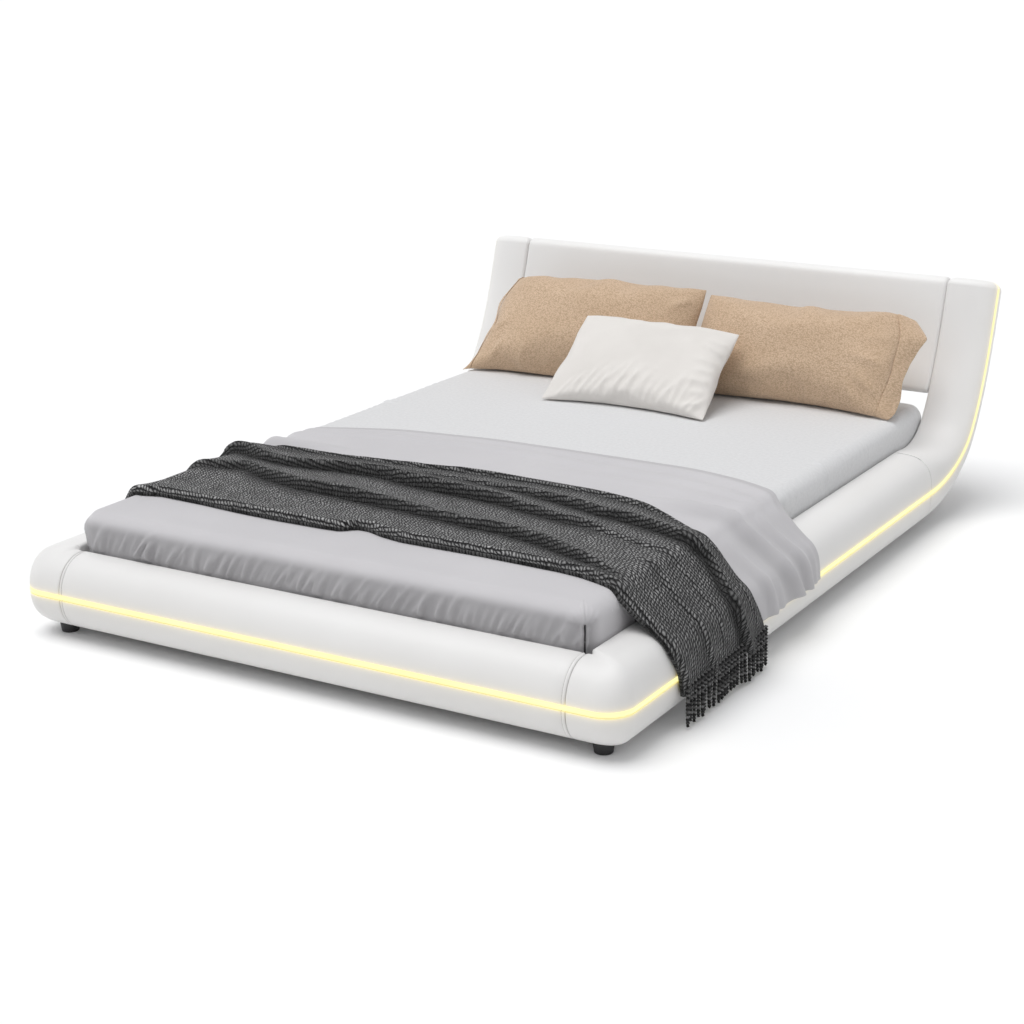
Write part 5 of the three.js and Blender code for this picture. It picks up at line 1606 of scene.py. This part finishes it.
# The rims of each case, in metres: its lower rim lies on the sheet (x, y), its upper rim leans back
# (x, z), and its ends run from the lower to the upper rim (share of the height, x)
PILLOW_RIGHT = {
    "rest": 0.3035, "lean_on": 0.930,
    "bottom": ((0.02, 0.775), (0.145, 0.781), (0.33, 0.800), (0.45, 0.795), (0.56, 0.775), (0.66, 0.752)),
    "top": ((0.03, 0.571), (0.15, 0.565), (0.33, 0.560), (0.50, 0.564), (0.60, 0.572), (0.66, 0.566)),
    "left": ((0.0, 0.020), (0.5, 0.030), (1.0, 0.037)),
    "right": ((0.0, 0.660), (0.2, 0.655), (0.5, 0.660), (0.8, 0.662), (1.0, 0.648)),
}
PILLOW_LEFT = {
    "rest": 0.3035, "lean_on": 0.930,
    "bottom": ((-0.69, 0.693), (-0.64, 0.715), (-0.58, 0.737), (-0.44, 0.743), (-0.2, 0.755), (0.02, 0.77)),
    "top": ((-0.64, 0.556), (-0.58, 0.566), (-0.46, 0.570), (-0.2, 0.574), (0.03, 0.583)),
    "left": ((0.0, -0.687), (0.15, -0.664), (0.4, -0.650), (0.8, -0.640), (1.0, -0.628)),
    "right": ((0.0, 0.004), (0.5, 0.016), (1.0, 0.027)),
}
CUSHION = {
    "rest": 0.3035, "lean_on": 0.760,
    "bottom": ((-0.289, 0.481), (-0.20, 0.507), (-0.115, 0.524), (0.047, 0.522), (0.15, 0.506), (0.236, 0.483)),
    "top": ((-0.287, 0.505), (-0.15, 0.501), (-0.044, 0.5015), (0.10, 0.498), (0.213, 0.499)),
    "left": ((0.0, -0.289), (0.5, -0.280), (1.0, -0.287)),
    "right": ((0.0, 0.233), (0.5, 0.212), (1.0, 0.214)),
}
# How wide each flap is along its seam (height, width)
RIGHT_FLAP = ((0.0, 0.014), (0.03, 0.030), (0.07, 0.034), (0.12, 0.028), (0.18, 0.030), (0.215, 0.044), (0.255, 0.066),
              (0.28, 0.048), (0.31, 0.024), (0.33, 0.010))
LEFT_FLAP = ((0.0, 0.004), (0.08, 0.012), (0.14, 0.014), (0.20, 0.016), (0.25, 0.022), (0.30, 0.018), (0.33, 0.004))
# Creases: start (x, up), direction in degrees, length, width and height
RIGHT_CREASES = ((0.63, 0.06, 150, 0.11, 0.009, 0.008), (0.64, 0.14, 172, 0.13, 0.009, 0.007),
                 (0.64, 0.22, 190, 0.10, 0.009, 0.006), (0.42, 0.0, 96, 0.06, 0.006, 0.008),
                 (0.44, 0.0, 78, 0.05, 0.006, 0.006), (0.57, 0.02, 120, 0.09, 0.009, 0.007),
                 (0.24, 0.0, 84, 0.05, 0.008, 0.006), (0.60, 0.30, 228, 0.10, 0.010, 0.006))
LEFT_CREASES = ((-0.50, 0.0, 75, 0.08, 0.008, 0.007), (-0.42, 0.0, 62, 0.06, 0.007, 0.006),
                (-0.60, 0.02, 60, 0.10, 0.010, 0.007), (-0.64, 0.12, 20, 0.11, 0.012, 0.006),
                (0.0, 0.28, 215, 0.10, 0.012, 0.007), (0.0, 0.16, 180, 0.09, 0.012, 0.006))
chance = np.random.default_rng(3)
CUSHION_CREASES = [(x, 0.004, chance.uniform(56, 84), chance.uniform(0.07, 0.17), chance.uniform(0.0045, 0.007),
                    chance.uniform(0.0035, 0.007)) for x in np.arange(-0.24, 0.20, 0.021)]
CUSHION_CREASES += [(0.205, y, chance.uniform(160, 205), chance.uniform(0.06, 0.10), chance.uniform(0.007, 0.010),
                     chance.uniform(0.004, 0.007)) for y in np.arange(0.04, 0.29, 0.036)]
lay_case("big_pillow_left", "pillow_left", "pillow_left_set", "pillow_weave", pillow_weave,
         size=(0.70, 0.36), bumps=creases(1.0, 0.003), pressure=5.0, rims=PILLOW_LEFT, thick=0.088,
         lines=LEFT_CREASES, side=-1, widths=LEFT_FLAP)
lay_case("big_pillow_right", "pillow_right", "pillow_right_set", "pillow_weave", pillow_weave,
         size=(0.66, 0.36), bumps=creases(3.0, 0.003), pressure=5.0, rims=PILLOW_RIGHT, thick=0.088,
         lines=RIGHT_CREASES, side=1, widths=RIGHT_FLAP)
lay_case("cream_cushion", "small_cushion", "cushion_set", "cushion_fabric", cushion_cloth,
         size=(0.53, 0.34), bumps=creases(7.0, 0.002), pressure=2.5, rims=CUSHION, thick=0.058,
         lines=CUSHION_CREASES, pitch=0.0062)

# %% [markdown]
# ## Studio
#
# The bed stands on a white floor that runs into a white background, under one wide soft light
# from above and an even sky. The floor's own white is added only where the camera looks, so that
# the shadow round the bed stays and the bed gets no extra light from it.

# %% Floor
FLOOR_WHITE, FLOOR_OWN_WHITE, FLOOR_REACH = 0.93, 0.03, 60
floor_material = bpy.data.materials.new("studio_floor")
floor_material.use_nodes = True
tree = floor_material.node_tree
shader = tree.nodes["Principled BSDF"]
shader.inputs["Base Color"].default_value = (FLOOR_WHITE, FLOOR_WHITE, FLOOR_WHITE, 1)
shader.inputs["Roughness"].default_value = 0.9
shader.inputs["Specular IOR Level"].default_value = 0.1
rays = place(tree, "ShaderNodeLightPath")
seen = math_node(tree, "MAXIMUM", rays.outputs["Is Camera Ray"], rays.outputs["Is Glossy Ray"])
white = place(tree, "ShaderNodeEmission", {
    "Color": (1, 1, 1, 1), "Strength": math_node(tree, "MULTIPLY", seen, FLOOR_OWN_WHITE),
})
both = place(tree, "ShaderNodeAddShader", {0: shader.outputs[0], 1: white.outputs[0]})
tree.links.new(both.outputs[0], tree.nodes["Material Output"].inputs["Surface"])

floor_mesh = bpy.data.meshes.new("studio_floor")
floor_corners = [(FLOOR_REACH * sx, FLOOR_REACH * sy, 0) for sx, sy in ((-1, -1), (1, -1), (1, 1), (-1, 1))]
floor_mesh.from_pydata(floor_corners, [], [(0, 1, 2, 3)])
floor_mesh.materials.append(floor_material)
new_object("studio_floor", floor_mesh)

# %% World and lamp
SKY_STRENGTH, SUN_STRENGTH, SUN_WIDTH, SUN_TURN = 0.47, 1.97, 46, (11, -10, 0)
world = bpy.data.worlds.new("studio")
bpy.context.scene.world = world
world.use_nodes = True
tree = world.node_tree
tree.nodes.clear()
rays = place(tree, "ShaderNodeLightPath")
seen = math_node(tree, "MAXIMUM", rays.outputs["Is Camera Ray"],
                 math_node(tree, "MAXIMUM", rays.outputs["Is Glossy Ray"], rays.outputs["Is Transmission Ray"]))
sky = place(tree, "ShaderNodeBackground", {"Color": (0.97, 0.98, 1.0, 1), "Strength": SKY_STRENGTH})
paper = place(tree, "ShaderNodeBackground", {"Color": (1, 1, 1, 1), "Strength": 1.0})
choice = place(tree, "ShaderNodeMixShader", {0: seen, 1: sky.outputs[0], 2: paper.outputs[0]})
place(tree, "ShaderNodeOutputWorld", {"Surface": choice.outputs[0]})

lamp_data = bpy.data.lights.new("soft_box", "SUN")
lamp_data.energy, lamp_data.angle = SUN_STRENGTH, math.radians(SUN_WIDTH)
lamp = new_object("soft_box", lamp_data)
lamp.location = (0, MIDDLE_Y, 4)
lamp.rotation_euler = [math.radians(angle) for angle in SUN_TURN]
bpy.context.scene.view_settings.view_transform = "Standard"
